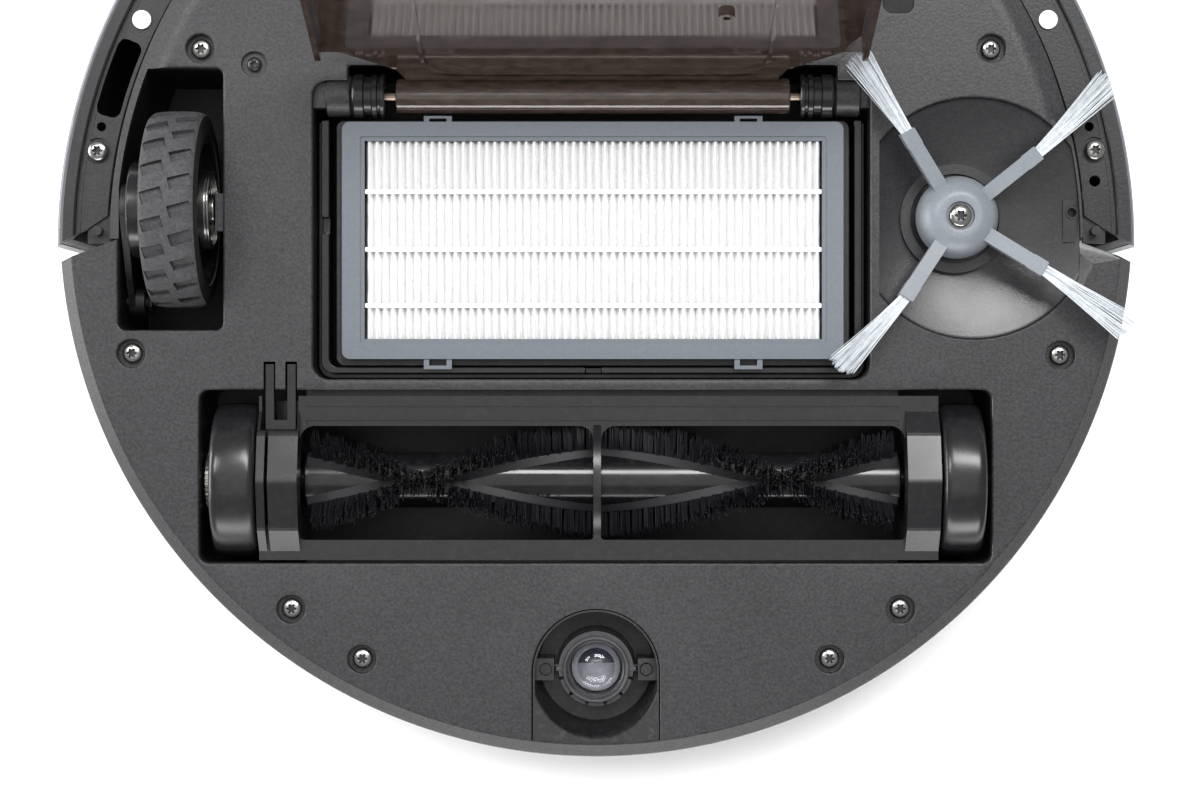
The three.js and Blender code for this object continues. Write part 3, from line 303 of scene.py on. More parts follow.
def material(name, rgb, roughness, metallic=0.0, grain=1100, bump=0.12, depth=0.05, vary=0.10,
             rough_vary=0.08, stretch=(1, 1, 1), broad=18, dust=0.0, dust_rgb=(150, 146, 140), **sockets):
    """A moulded or metal surface: fine grain, broad colour variation, uneven gloss and a little dust."""
    made = bpy.data.materials.new(name)
    made.use_nodes = True
    nodes, links = made.node_tree.nodes, made.node_tree.links
    shader = nodes["Principled BSDF"]

    def fill(node, values):
        """Sets a node's inputs, each to a value or to another node's output."""
        for socket, value in values.items():
            if isinstance(value, bpy.types.NodeSocket):
                links.new(value, node.inputs[socket])
            else:
                node.inputs[socket].default_value = value
        return node

    def new(kind, values, **settings):
        node = nodes.new("ShaderNode" + kind)
        for setting, value in settings.items():
            setattr(node, setting, value)
        return fill(node, values)

    def noise(scale, detail, rough):
        values = {"Scale": scale, "Detail": detail, "Roughness": rough, "Vector": scaled}
        return new("TexNoise", values).outputs["Fac"]

    def spread(source, low, high, start=0.3, end=0.7):
        values = {"From Min": start, "From Max": end, "To Min": low, "To Max": high, "Value": source}
        return new("MapRange", values).outputs["Result"]

    def mix(factor, first, second):
        return new("Mix", {0: factor, 6: first, 7: second}, data_type="RGBA").outputs[2]

    where = new("TexCoord", {}).outputs["Object"]
    scaled = new("Mapping", {"Vector": where, "Scale": stretch}).outputs["Vector"]
    fine, wide = noise(grain, 3, 0.6), noise(broad, 4, 0.6)
    share = new("Math", {0: wide, 1: BROAD_SHARE}, operation="MULTIPLY").outputs[0]
    blend = new("Math", {0: fine, 1: 1 - BROAD_SHARE, 2: share}, operation="MULTIPLY_ADD").outputs[0]
    darker, lighter = [tuple(min(1, c * turn) for c in linear(rgb)[:3]) + (1,) for turn in (1 - vary, 1 + vary)]
    colour = mix(spread(blend, 0, 1, 0.38, 0.62), darker, lighter)
    if dust:
        cover = spread(noise(grain * 0.35, 5, 0.7), 0, dust, 0.5, 0.8)
        colour = mix(cover, colour, linear(dust_rgb))
    relief = new("Bump", {"Strength": bump, "Distance": depth * MM, "Height": fine}).outputs["Normal"]
    fill(shader, {socket.replace("_", " "): value for socket, value in sockets.items()})
    fill(shader, {"Metallic": metallic, "Base Color": colour, "Normal": relief,
                  "Roughness": spread(wide, roughness - rough_vary, roughness + rough_vary)})
    return made


SPARKED = {"grain": 1050, "bump": 0.6, "depth": 0.13, "vary": 0.4, "dust": 0.03}
CHARCOAL = material("charcoal_plastic", (36, 36, 38), 0.4, **SPARKED)
BUMPER_PLASTIC = material("bumper_plastic", (22, 22, 24), 0.4, **SPARKED)
DISH_PLASTIC = material("dish_plastic", (31, 31, 33), 0.33, grain=1050, bump=0.3, depth=0.1, vary=0.25,
                        dust=0.02)
# Painted shade: a near-black for the tubs' insides, the dust bin, the swing arm and the tyre's flat sides,
# which lie in shadow; it carries a little dust.
PAINTED_SHADE_BLACK = material("painted_shade_black", (9, 9, 10), 0.45, grain=1200, bump=0.2, vary=0.15, dust=0.05)
BLACK = material("black_plastic", (28, 28, 30), 0.4, grain=1200, bump=0.2, vary=0.15, dust=0.10)
SATIN = material("satin_black", (20, 20, 22), 0.25, grain=1300, bump=0.12, vary=0.12, dust=0.03)
GLOSS = material("gloss_black", (16, 16, 18), 0.16, grain=400, bump=0.02, vary=0.2, dust=0.03)
SILVER = material("silver_strip", (112, 116, 122), 0.3, metallic=0.6, grain=2500, bump=0.05, vary=0.05)
STEEL = material("steel", (172, 171, 168), 0.26, metallic=1.0, grain=1600, bump=0.06, vary=0.08)
# Dark steel for the motors and the small screw; also painted shade in the screw recesses.
DARK_STEEL_AND_RECESS_SHADE = material("dark_steel", (70, 70, 72), 0.36, metallic=0.9, grain=1600, bump=0.15)
SPRING = material("spring_steel", (150, 150, 152), 0.3, metallic=1.0, grain=1800, bump=0.1)
COPPER = material("pin_metal", (176, 158, 144), 0.3, metallic=1.0, grain=900, bump=0.1, vary=0.12)
RUBBER = material("tyre_rubber", (50, 50, 52), 0.7, grain=1100, bump=0.35, depth=0.12, vary=0.3,
                  dust=0.12, dust_rgb=(130, 129, 127))
BRISTLE = material("bristle", (13, 14, 18), 0.5, grain=1200, bump=0.1, vary=0.5)
RIDGE = material("ridge_rubber", (11, 12, 15), 0.6, grain=900, bump=0.1, vary=0.1)
BRUSH_GREY = material("brush_grey", (106, 111, 117), 0.42, grain=1000, bump=0.1, vary=0.05, dust=0.06)
NYLON = material("nylon", (186, 191, 196), 0.45, grain=600, bump=0.1, vary=0.1)
FRAME_GREY = material("filter_grey", (88, 93, 100), 0.46, grain=1300, bump=0.2, vary=0.06, dust=0.06)
PAPER = material("filter_paper", (226, 226, 226), 0.85, grain=1500, bump=0.3, depth=0.08, vary=0.025)
WHITE = material("white_plug", (228, 228, 228), 0.5, grain=900, bump=0.1, vary=0.04)
BOARD = material("circuit_board", (24, 92, 56), 0.4, grain=500, bump=0.1, vary=0.2)
BATTERY = material("battery_wrap", (44, 74, 122), 0.35, grain=300, bump=0.1, vary=0.08)
LENS_DARK = material("lens_dark", (14, 17, 40), 0.3, grain=300, bump=0.01, vary=0.3)
LENS_GREY = material("lens_grey", (132, 130, 134), 0.5, grain=500, bump=0.02, vary=0.06)
LENS_RIM = material("lens_rim", (168, 165, 168), 0.35, grain=500, bump=0.02, vary=0.06)
BARREL_GREY = material("barrel_grey", (52, 52, 55), 0.35, grain=1300, bump=0.3, vary=0.1, dust=0.1)
SMOKE = material("smoke_clear", (70, 57, 51), 0.07, grain=200, bump=0.02, vary=0.3, rough_vary=0.05,
                 stretch=(1, 3, 1), broad=45, dust=0.1, Transmission_Weight=0.45, IOR=1.49,
                 Specular_IOR_Level=0.8)
GLASS = material("lens_glass", (225, 228, 232), 0.1, grain=260, bump=0.002, vary=0.05, rough_vary=0.0,
                 stretch=(1, 6, 1), broad=60, Transmission_Weight=1.0, IOR=1.49)


# ------------------------------------------------------------------ housing
def well_outline(grow):
    """The drive wheel's opening, whose front outer side follows the bumper."""
    r, reach = 2.5 + grow, WELL_ARC + grow
    (x0, x1), (y0, y1) = (WELL_X[0] - grow, WELL_X[1] + grow), (WELL_Y[0] - grow, WELL_Y[1] + grow)
    first = 180 - math.degrees(math.asin((y1 - BUMPER_Y) / reach))
    last = math.degrees(math.acos(x0 / reach))
    return (arc(x1 - r, y0 + r, r, -90, 0, 8) + arc(x1 - r, y1 - r, r, 0, 90, 8)
            + arc(0, BUMPER_Y, reach, first, last, 24) + arc(x0 + r, y0 + r, r, 180, 270, 8))


def bay_outline(grow):
    return round_rect((BAY_X[0] - grow, BAY_X[1] + grow), (BAY_Y[0] - grow, BAY_Y[1] + grow), 3.2 + grow)


def recess_outline(grow):
    """The bin's opening with the hinge's trough in front of it."""
    r, c = 5 + grow, 1.2
    (x0, x1), (y0, y1) = (RECESS_X[0] - grow, RECESS_X[1] + grow), (RECESS_Y[0] - grow, RECESS_Y[1] + grow)
    (t0, t1), ahead = (TROUGH_X[0] - grow, TROUGH_X[1] + grow), TROUGH_Y + grow
    return (arc(x1 - r, y0 + r, r, -90, 0, 8) + arc(x1 - r, y1 - r, r, 0, 90, 8) + [(t1, y1)]
            + arc(t1 - c, ahead - c, c, 0, 90, 4) + arc(t0 + c, ahead - c, c, 90, 180, 4) + [(t0, y1)]
            + arc(x0 + r, y1 - r, r, 90, 180, 8) + arc(x0 + r, y0 + r, r, 180, 270, 8))


def slot_outline(grow):
    """The rear sensor's arch, whose straight sides end at the rear chamfer."""
    r, reach = 20.5 + grow, BODY_R - CHAMFER_W
    half = math.degrees(math.asin(r / reach))
    return arc(0, 0, reach, 270 - half, 270 + half, 12) + arc(0, ARCH_Y, r, 0, 180, 48)


HOUSINGS = ((well_outline, WELL_FLOOR), (bay_outline, BAY_FLOOR), (recess_outline, RECESS_FLOOR))


def dish(grow, low, profile):
    """The side brush's shallow bowl, kept clear of the bin recess and the bumper."""
    bowl = lathe(profile, centre=(*DISH, 0), segments=160)
    edge = post(min(DISH_REACH + grow, FRONT_R), low - 5, BASE_Z + 9, 0, BUMPER_Y, 256)
    side = box((RECESS_X[1] + 2.9 - grow, 200), (-100, 100), (low - 5, BASE_Z + 9))
    return keep(bowl, edge, side)


def cradle(x0, x1):
    block = box((x0, x1), (ROLLER[0] - 8, ROLLER[0] + 8), (BAY_FLOOR - 1, ROLLER[1] + 3))
    seat = rod(4.2, x0 - 1, x1 + 1, *ROLLER)
    way = box((x0 - 1, x1 + 1), (ROLLER[0] - 4.2, ROLLER[0] + 4.2), (ROLLER[1], ROLLER[1] + 5))
    return cut(block, seat, way)


def plate_blank():
    inner = BODY_R - 3
    rear = lathe([
        (0, PLATE_LOW), (inner, PLATE_LOW), (inner, SKIRT_LOW), (BODY_R, SKIRT_LOW),
        (BODY_R, BASE_Z - CHAMFER_H), (BODY_R - 0.3, BASE_Z - CHAMFER_H + 0.5),
        (BODY_R - CHAMFER_W + 0.4, BASE_Z - 0.15), (BODY_R - CHAMFER_W - 0.3, BASE_Z), (0, BASE_Z)],
        segments=LONG_ARC)
    roll = 4.5
    slope = BEVEL_H / (BEVEL_W - roll / 2)
    foot = BASE_Z - BEVEL_H + 0.15
    bevel = [(FRONT_R, PLATE_LOW), (FRONT_R, foot), (FRONT_R - 0.3, foot + 0.3 * slope)]
    for k in range(6, -1, -1):
        bevel.append((FRONT_R - BEVEL_W + roll * k / 6, BASE_Z - slope * roll / 2 * (k / 6) ** 2))
    front = lathe([(0, PLATE_LOW)] + bevel + [(0, BASE_Z)], centre=(0, FRONT_Y, 0), segments=LONG_ARC)
    x, y = NOTCH
    far, side = 200, y - 18
    keep(rear, prism([(-far, -far), (far, -far), (far, side), (x, y), (-x, y), (-far, side)], UNDER, OVER))
    keep(front, box((-far, far), (y, far), (UNDER, OVER)))
    return add(rear, front)


def lugs(grow):
    """The hinge's two round lugs and the bridges that carry them under the plate."""
    made = []
    reach, r = 2.5 + grow, 6.45 + grow
    for x0, x1, bridge in ((-86.7, -78.7, (RECESS_X[0] - reach, -86)),
                           (76.8, 84.9, (84.2, RECESS_X[1] + reach))):
        x0, x1 = x0 - grow, x1 + grow
        profile = [(0, x0), (r - 0.55, x0), (r, x0 + 0.5), (r, x1 - 0.5), (r - 0.55, x1), (0, x1)]
        made.append(lathe(profile, "X", (0, *HINGE), 64))
        made.append(box(bridge, (36 - grow, 44 + grow), (67.5 - grow, PLATE_LOW + 0.1)))
    return made


def latch_slots():
    return [box((x - 1.9, x + 1.9), (-56, -45.6), (64, OVER)) for x in LATCH_FINGERS]


def corner_facets():
    """Cutters for the slopes from the dish up to the plate, beside the bumper's end."""
    inner, ridge = (150.5, -7.6, 3), (159.4, -14.5, -0.1)  # x, y and depth under the base plane
    made = []
    for corners in ((inner, (156.8, -5.4, 2.6), (168.4, -12.9, 0), ridge),
                    (inner, ridge, (155.6, -22.4, -0.1), (150.2, -22, 2.2))):
        bm = bmesh.new()
        for x, y, depth in corners:
            for z in (BASE_Z - depth, OVER):
                bm.verts.new(Vector((x, y, z)) * MM)
        bmesh.ops.convex_hull(bm, input=bm.verts)
        made.append(mesh_object(bm))
    return made


def dish_pad():
    """The small flat pad with a hole at the dish's outer edge."""
    pad = box((150, DISH_REACH + 0.4), (-7.2, 6.3), (DISH_FLOOR - 1, BASE_Z - 3.2))
    return cut(pad, post(1.5, UNDER, OVER, *PAD_HOLE), ring(2.0, 2.3, BASE_Z - 3.6, OVER, *PAD_HOLE))


def window_recess(grow):
    return round_rect(*[(low - grow, high + grow) for low, high in CLIFF_WINDOW], 3 + grow)


def base_plate():
    plate = plate_blank()
    low, high = DISH_FLOOR - 1.8, BASE_Z - 0.5
    tub_profile = [(0, low), (DISH_R + 1.4, low), (DISH_R + 1.4, high), (0, high)]
    bowl_profile = [(r, DISH_FLOOR + h) for r, h in
                    ((0, 0), (16, 0), (20, 0.35), (26, 1.6), (32, 3.2), (37.6, 4.9), (38.4, 5.3))]
    bowl_profile += [(38.7, BASE_Z - 0.9)] + [(38.7 + out, z) for out, z in rolled(0.7)]
    bowl_profile += [(39.4, OVER), (0, OVER)]
    add(plate, dish(1.4, low, tub_profile), *[post(6.8, 62, high, x, y) for x, y in SCREWS])
    cut(plate, *[prism(outline(1.5), floor - 2.3, PLATE_LOW) for outline, floor in HOUSINGS])
    cut(plate, *[opening(outline, PLATE_LOW - 1) for outline, _ in HOUSINGS],
        opening(slot_outline, 40, 0.5), dish(0, DISH_FLOOR, bowl_profile), post(5.4, UNDER, OVER, *HUB),
        *[round_opening(4.6, BASE_Z - 3.6, x, y) for x, y in SCREWS],
        *[post(1.7, UNDER, OVER, x, y) for x, y in SCREWS], *latch_slots(),
        round_opening(4.0, BASE_Z - 1.6, *SMALL_SCREW, 0.4), post(1.8, UNDER, OVER, *SMALL_SCREW),
        opening(window_recess, BASE_Z - 1.8, 0.4))
    add(plate, *lugs(0), box((WELL_X[1] - 2.6, WELL_X[1] + 1), (-3.8, 8.3), (PLATE_LOW, BASE_Z - 1.2)),
        ring(14.4, 17.5, DISH_FLOOR - 1, DISH_FLOOR + 2.2, *HUB), dish_pad())
    cut(plate, *corner_facets(), post(1.5, BASE_Z - 7.8, OVER, *PAD_HOLE))
    cut(plate, rod(1.75, -85.9, 84.1, *HINGE))
    pane = prism(window_recess(-0.2), BASE_Z - 1.79, BASE_Z - 1.3)
    dress(pane, GLOSS, "chassis", name="cliff_window")
    dress(plate, CHARCOAL, "chassis", "base_plate", angle=15)
    plate.data.materials.append(DISH_PLASTIC)
    for face in plate.data.polygons:
        x, y, z = face.center / MM
        if DISH_FLOOR - 0.5 < z < BASE_Z - 1 and math.hypot(x - DISH[0], y - DISH[1]) < DISH_R:
            face.material_index = 1
    return plate


def housing(outline, floor):
    """An open tub under the plate."""
    tub = prism(outline(1.2), floor - 2, PLATE_LOW - 0.3)
    return cut(tub, prism(outline(0), floor, BASE_Z))


def wheel_housing():
    tub = housing(well_outline, WELL_FLOOR)
    add(tub, rod(2.2, WELL_X[0] - 0.6, -143.6, *PIVOT))
    # The wheel tub's inside is painted shade.
    dress(tub, PAINTED_SHADE_BLACK, "chassis", "wheel_housing", angle=22)


def brush_housing():
    tub = housing(bay_outline, BAY_FLOOR)
    ledges = [box((-93, 97), y, (BASE_Z - 8, BASE_Z - 3.7))
              for y in ((BAY_Y[1] - 3, BAY_Y[1] + 0.5), (BAY_Y[0] - 0.5, BAY_Y[0] + 3))]
    stubs = [rod(3, x0, x1, *ROLLER) for x0, x1 in ((BAY_X[0] - 1, -108.9), (110.9, BAY_X[1] + 1))]
    add(tub, cradle(-103, -97.5), cradle(101, 106.5), *stubs, *ledges)
    cut(tub, *latch_slots())
    # The brush tub's inside is painted shade.
    dress(tub, PAINTED_SHADE_BLACK, "chassis", "brush_housing", angle=22)


def bin_housing():
    tub = cut(housing(recess_outline, RECESS_FLOOR), *lugs(0.3))
    # The bin tub's inside is painted shade.
    dress(tub, PAINTED_SHADE_BLACK, "chassis", "bin_housing", angle=22)


def body_outline(rear_r, front_r, inset, steps=96):
    start = math.degrees(math.asin((inset - NOTCH_OUT) / rear_r))
    front = math.degrees(math.asin((FRONT_START - inset - FRONT_Y) / front_r))
    x = min(NOTCH[0], front_r - 2)
    return (arc(0, 0, rear_r, 180 + start, 360 - start, steps) + [(x, NOTCH[1] - inset)]
            + arc(0, FRONT_Y, front_r, front, 180 - front, steps) + [(-x, NOTCH[1] - inset)])


def side_wall():
    low = COVER + 0.3
    outer = body_outline(BODY_R, FRONT_WALL_R, 0.4)
    inner = body_outline(BODY_R - WALL, FRONT_WALL_R - WALL, 0.4 + WALL)
    wall = prism(outer, low, SKIRT_LOW - 0.3)
    cut(wall, prism(inner, low - 1, SKIRT_LOW + 1))
    upper = prism(outer, SKIRT_LOW - 1, PLATE_LOW - 0.3)
    cut(upper, prism(inner, SKIRT_LOW - 2, PLATE_LOW + 1))
    keep(upper, box((-200, 200), (0, 200), (0, 100)))
    add(wall, upper)
    dish_low = DISH_FLOOR - 2.1
    tub = [(0, dish_low), (DISH_R + 1.7, dish_low), (DISH_R + 1.7, BASE_Z), (0, BASE_Z)]
    cut(wall, prism(well_outline(1.5), WELL_FLOOR - 2.3, BASE_Z), dish(1.7, dish_low, tub))
    dress(wall, BLACK, "chassis", "side_wall", bevel=0.4)


BUTTON = (middle("power_button", 0), middle("power_button", 1))


def top_cover():
    cover = prism(body_outline(BODY_R, FRONT_R, 0), 0, COVER)
    cut(cover, post(14, -1, 0.6, *BUTTON, 64), post(9.3, -1, COVER + 1, *BUTTON, 64),
        ring(118, 118.8, -1, 0.5, segments=200), ring(52, 53, -1, 0.4, segments=128))
    dress(cover, GLOSS, "chassis", "top_cover", bevel=0.5)


def power_button():
    r, flange = 9.0, COVER + 0.3
    profile = [(0, 1.25), (5.5, 1.15), (7.6, 1.0), (8.7, 1.25), (r, 1.8), (r, flange), (r + 1.8, flange),
               (r + 1.8, flange + 1.2), (0, flange + 1.2)]
    button = lathe(profile, centre=(*BUTTON, 0), segments=72)
    cut(button, ring(3.1, 3.8, 0, 1.45, *BUTTON, 48), box((BUTTON[0] - 0.35, BUTTON[0] + 0.35),
        (BUTTON[1] + 1.5, BUTTON[1] + 4.6), (0, 1.45)))
    dress(button, SILVER, "power_button", "power_button")


def screw(x, y, head_r, top, depth, body, node, steel=STEEL, slot="steel"):
    """A domed screw head with a six-lobed recess."""
    profile = [(0, top), (head_r * 0.45, top - 0.05), (head_r * 0.8, top - 0.35), (head_r * 0.97, top - 0.85),
               (head_r, top - 1.3), (head_r, top - 2), (1.3, top - 2), (1.3, top - depth), (0, top - depth)]
    head = lathe(profile, centre=(x, y, 0), segments=40)
    lobes = []
    for k in range(36):
        a = 2 * math.pi * k / 36
        r = head_r * (0.44 + 0.12 * math.cos(6 * a))
        lobes.append((x + r * math.cos(a), y + r * math.sin(a)))
    cut(head, prism(lobes, top - 1.5, top + 1))
    dress(head, steel, body, node, bevel=0.08, angle=40)
    # The recess's walls and floor get the darker steel as painted shade.
    head.data.materials.append(DARK_STEEL_AND_RECESS_SHADE)
    for face in head.data.polygons:
        fx, fy, fz = face.center / MM
        inside = math.hypot(fx - x, fy - y) < head_r * 0.57 and top - 1.6 < fz
        if inside and (abs(face.normal.z) < 0.5 or fz < top - 1.2):
            face.material_index = 1
    return head


# ------------------------------------------------------------------ bumper
def front_region():
    out = (180, -2.9 - 16.5 * 0.51)
    right = [(155.5, 2.4), (163.5, -2.9), out, (180, 200)]
    return prism(right + [(-x, y) for x, y in right[::-1]], -5, 90)


def bumper_arc(profile):
    return keep(lathe(profile, centre=(0, BUMPER_Y, 0), segments=LONG_ARC, closed=True), front_region())


def flange_slot(start, end, r0, r1, corner=2.8):
    """Cutters for a curved slot with rounded corners, between two angles in degrees."""
    step = math.degrees(corner / r1)
    cutters = []
    for a0, a1, inner, outer in ((start + step, end - step, r0, r1), (start, end, r0 + corner, r1 - corner)):
        outline = arc(0, BUMPER_Y, outer, a0, a1, 20) + arc(0, BUMPER_Y, inner, a1, a0, 20)
        cutters.append(prism(outline, UNDER, OVER))
    for a in (start + step, end - step):
        for r in (r0 + corner, r1 - corner):
            (x, y), = arc(0, BUMPER_Y, r, a, a, 1)[:1]
            cutters.append(post(corner, UNDER, OVER, x, y))
    return cutters


FLANGE_HOLES = ((-159, 30), (158.6, 30))


def bumper_shell():
    low = COVER + 0.4
    shell = bumper_arc([
        (BUMPER_IN, FLANGE[0]), (BUMPER_RIM, FLANGE[0]), (169.5, 66), (169.5, low + 2), (155.6, low + 2),
        (155.6, low),
        (BUMPER_OUT - 1.5, low), (BUMPER_OUT, low + 1.5), (BUMPER_OUT, 72.3), (BUMPER_OUT - 0.8, 73),
        (BUMPER_RIM + 0.5, 73), (BUMPER_RIM, 72.6), (BUMPER_RIM - 0.1, FLANGE[1] - 0.9),
        (BUMPER_RIM - 1.6, FLANGE[1] - 0.9),
        (BUMPER_RIM - 1.9, FLANGE[1]), (BUMPER_IN + 0.4, FLANGE[1]), (BUMPER_IN, FLANGE[1] - 0.4)])
    pad = keep(box((151.2, 156.4), (-1.5, 9), (FLANGE[0], FLANGE[1] + 0.5)),
               lathe([(BUMPER_IN, 60), (BUMPER_RIM, 60), (BUMPER_RIM, 80), (BUMPER_IN, 80)],
                     centre=(0, BUMPER_Y, 0), segments=LONG_ARC, closed=True))
    ends = []
    for x in (-160, 160.4):
        ends.append(box((x - 3.6, x + 3.6), (-7.5, 5), (FLANGE[0], FLANGE[0] + 1.2)))
        ends.append(post(1.5, FLANGE[0], 74.6, x, -3.6))
    add(shell, *ends, pad)
    plugs = [(middle(f"bumper_plug_{s}", 0), middle(f"bumper_plug_{s}", 1)) for s in ("left", "right")]
    screws = [(middle(f"bumper_screw_{s}", 0), middle(f"bumper_screw_{s}", 1)) for s in ("left", "right")]
    cut(shell, *flange_slot(156.6, 165.6, 158.4, 166.5),
        *[post(r, UNDER, OVER, x, y) for r, places in ((2.2, plugs), (1.7, screws), (1.5, FLANGE_HOLES))
          for x, y in places],
        *[ring(3.3, 4.3, FLANGE[1] - 0.8, OVER, x, y, 48) for x, y in screws],
        post(1.8, UNDER, OVER, 160.4, 12.5))
    dress(shell, BUMPER_PLASTIC, "bumper", "bumper_shell", bevel=0.2, angle=28)


def bumper_strip():
    strip = bumper_arc([
        (172.5, 14), (173.4, 14), (174.1, 14.6), (STRIP_R, 16.4), (STRIP_R, 65.8), (174.1, 67.8),
        (173.4, 68.5), (172.5, 68.5)])
    dress(strip, SILVER, "bumper", "bumper_strip", bevel=0.2, angle=40)


def bumper_plug(side):
    node = f"bumper_plug_{side}"
    top = span(node)[2][1]
    profile = [(r, top - depth) for r, depth in (
        (0, 6.6), (1.9, 6.6), (1.9, 1.1), (3, 1.1), (3, 0.5), (2.5, 0.1), (1.6, 0), (1.3, 0.25), (0, 0.25))]
    plug = lathe(profile, centre=(middle(node, 0), middle(node, 1), 0), segments=36)
    dress(plug, WHITE, "bumper", node, angle=50)


# ------------------------------------------------------------------ drive wheel
def tyre():
    x0, x1 = TYRE_X
    r, inner = TYRE_R, 24.3
    shoulder = [(r - 3, 0), (r - 1.4, 0.5), (r - 0.5, 1.7), (r - 0.1, 4), (r, 7)]
    band = lathe([(inner, x0)] + [(far, x0 + h) for far, h in shoulder]
                 + [(far, x1 - h) for far, h in shoulder[::-1]] + [(inner, x1)],
                 "X", (0, *AXLE), 176, closed=True)
    count = 22
    bm = bmesh.new()
    for i in range(count):
        for side in (-1, 1):
            place = Matrix.Translation(Vector(((x0 + x1) / 2, *AXLE)) * MM)
            turn = Matrix.Rotation(2 * math.pi * (i + side * 0.25) / count, 4, "X")
            shift = Matrix.Translation(Vector((side * 4.4, 0, r)) * MM)
            shift = shift @ Matrix.Rotation(math.radians(15), 4, "Z")
            size = Matrix.Diagonal(Vector((7 * MM, 3.9 * MM, 3.4 * MM, 1)))
            bmesh.ops.create_cube(bm, size=1, matrix=place @ turn @ shift @ size)
    pockets = mesh_object(bm)
    cut(band, pockets)
    dress(band, RUBBER, "drive_wheel", "tyre", bevel=0.45, angle=35, segments=3)
    # The tyre's flat sides get the near-black painted shade of the well.
    band.data.materials.append(PAINTED_SHADE_BLACK)
    for face in band.data.polygons:
        if abs(face.normal.x) > 0.6 and not x0 + 1 < face.center.x / MM < x1 - 1:
            face.material_index = 1
    return band


def wheel_rim():
    x0, x1 = TYRE_X
    web = x0 + 5
    rim = lathe([
        (3.3, web), (21, web), (21, x0 + 0.5), (24, x0 + 0.5), (24, x1 - 0.4), (21.5, x1 - 0.4), (20, x1 - 3),
        (13.5, x1 - 2.6), (13, x1 - 2.2), (11, x1 - 2.2), (11, x1 - 4), (3.3, x1 - 4)],
        "X", (0, *AXLE), 96, closed=True)
    dress(rim, SATIN, "drive_wheel", "wheel_rim", bevel=0.3)


def wheel_axle():
    x1 = TYRE_X[1]
    axle = lathe([(0, -148.9), (3, -148.9)] + [(r, x1 + h) for r, h in (
        (3, -3.7), (10.6, -3.7), (10.6, -1.9), (12.6, -1.9), (12.6, 0.2), (12.2, 0.4), (12.6, 0.6),
        (12.6, 1.2), (12.3, 1.4), (11.2, 1.4), (11.2, -1), (5, -1), (5, 1.8), (4.7, 2.1), (0, 2.1))], "X", (0, *AXLE), 96)
    dress(axle, STEEL, "drive_wheel", "wheel_axle", bevel=0.12)


def wheel_motor():
    motor = lathe([
        (3.3, -149.4), (10, -149.4), (10.4, -149.0), (14.2, -149.0), (15.1, -148.7), (15.5, -148),
        (15.5, -142.9), (3.3, -142.9)], "X", (0, *AXLE), 96, closed=True)
    dress(motor, SATIN, "wheel_arm", "wheel_motor", bevel=0.2)


def swing_arm():
    x0, x1 = -151.9, -149.8
    dy, dz = AXLE[0] - PIVOT[0], AXLE[1] - PIVOT[1]
    length, lean = math.hypot(dy, dz), math.degrees(math.atan2(dz, dy))
    taper = math.degrees(math.asin((8.5 - 5) / length))
    outline = (arc(*AXLE, 8.5, lean - 90 + taper, lean + 90 - taper, 24)
               + arc(*PIVOT, 5, lean + 90 - taper, lean + 270 + taper, 24))
    arm = prism(outline, x0, x1, "X")
    add(arm, rod(5, x1 - 0.5, -147, *PIVOT))
    cut(arm, rod(2.5, x0 - 1, -146, *PIVOT), rod(3, x0 - 1, x0 + 0.8, *AXLE))
    # The swing arm, deep in the well, is painted near-black as shade.
    dress(arm, PAINTED_SHADE_BLACK, "wheel_arm", "swing_arm", bevel=0.3)


# ------------------------------------------------------------------ main brush
CORE_R = 9.0
ROWS = ((0, 1), (0, -1), (180, 1), (180, -1))  # angle from the camera side, and sense
ROW_SWING, ROW_TURN = 84.0, 1.45  # degrees at the roller's middle, and degrees lost per mm along it


def row_angle(row, along):
    start, sense = row
    mid = (BRUSH_X[0] + BRUSH_X[1]) / 2
    return math.radians(start + sense * (ROW_SWING - ROW_TURN * abs(along - mid)))


def on_roller(along, r, angle):
    return (along, ROLLER[0] - r * math.sin(angle), ROLLER[1] + r * math.cos(angle))


def brush_core():
    x0, x1 = BRUSH_X
    core = lathe([
        (0, x0 - 11), (3.8, x0 - 11), (3.8, x0), (CORE_R - 0.5, x0), (CORE_R, x0 + 0.5), (CORE_R, x1 - 0.5),
        (CORE_R - 0.5, x1), (3.8, x1), (3.8, x1 + 9.5), (0, x1 + 9.5)], "X", (0, *ROLLER), 64)
    dress(core, GLOSS, "main_brush", "brush_core", angle=30)


def brush_ridges():
    """The rubber strips that the bristles are set in."""
    x0, x1 = BRUSH_X[0] + 1, BRUSH_X[1] - 1
    stations = 96
    half = ((CORE_R - 0.9, 5.2), (CORE_R + 1.3, 1.5), (CORE_R + 1.6, 1.1))
    section = [(r, -w) for r, w in half] + [*half[::-1]]
    bm = bmesh.new()
    for row in ROWS:
        rings = []
        for i in range(stations + 1):
            x = x0 + (x1 - x0) * i / stations
            angle = row_angle(row, x)
            rings.append([bm.verts.new(Vector(on_roller(x, r, angle + w / CORE_R)) * MM) for r, w in section])
        sides(bm, rings)
        bm.faces.new(rings[0])
        bm.faces.new(rings[-1])
    dress(mesh_object(bm), RIDGE, "main_brush", angle=40, name="brush_ridges")


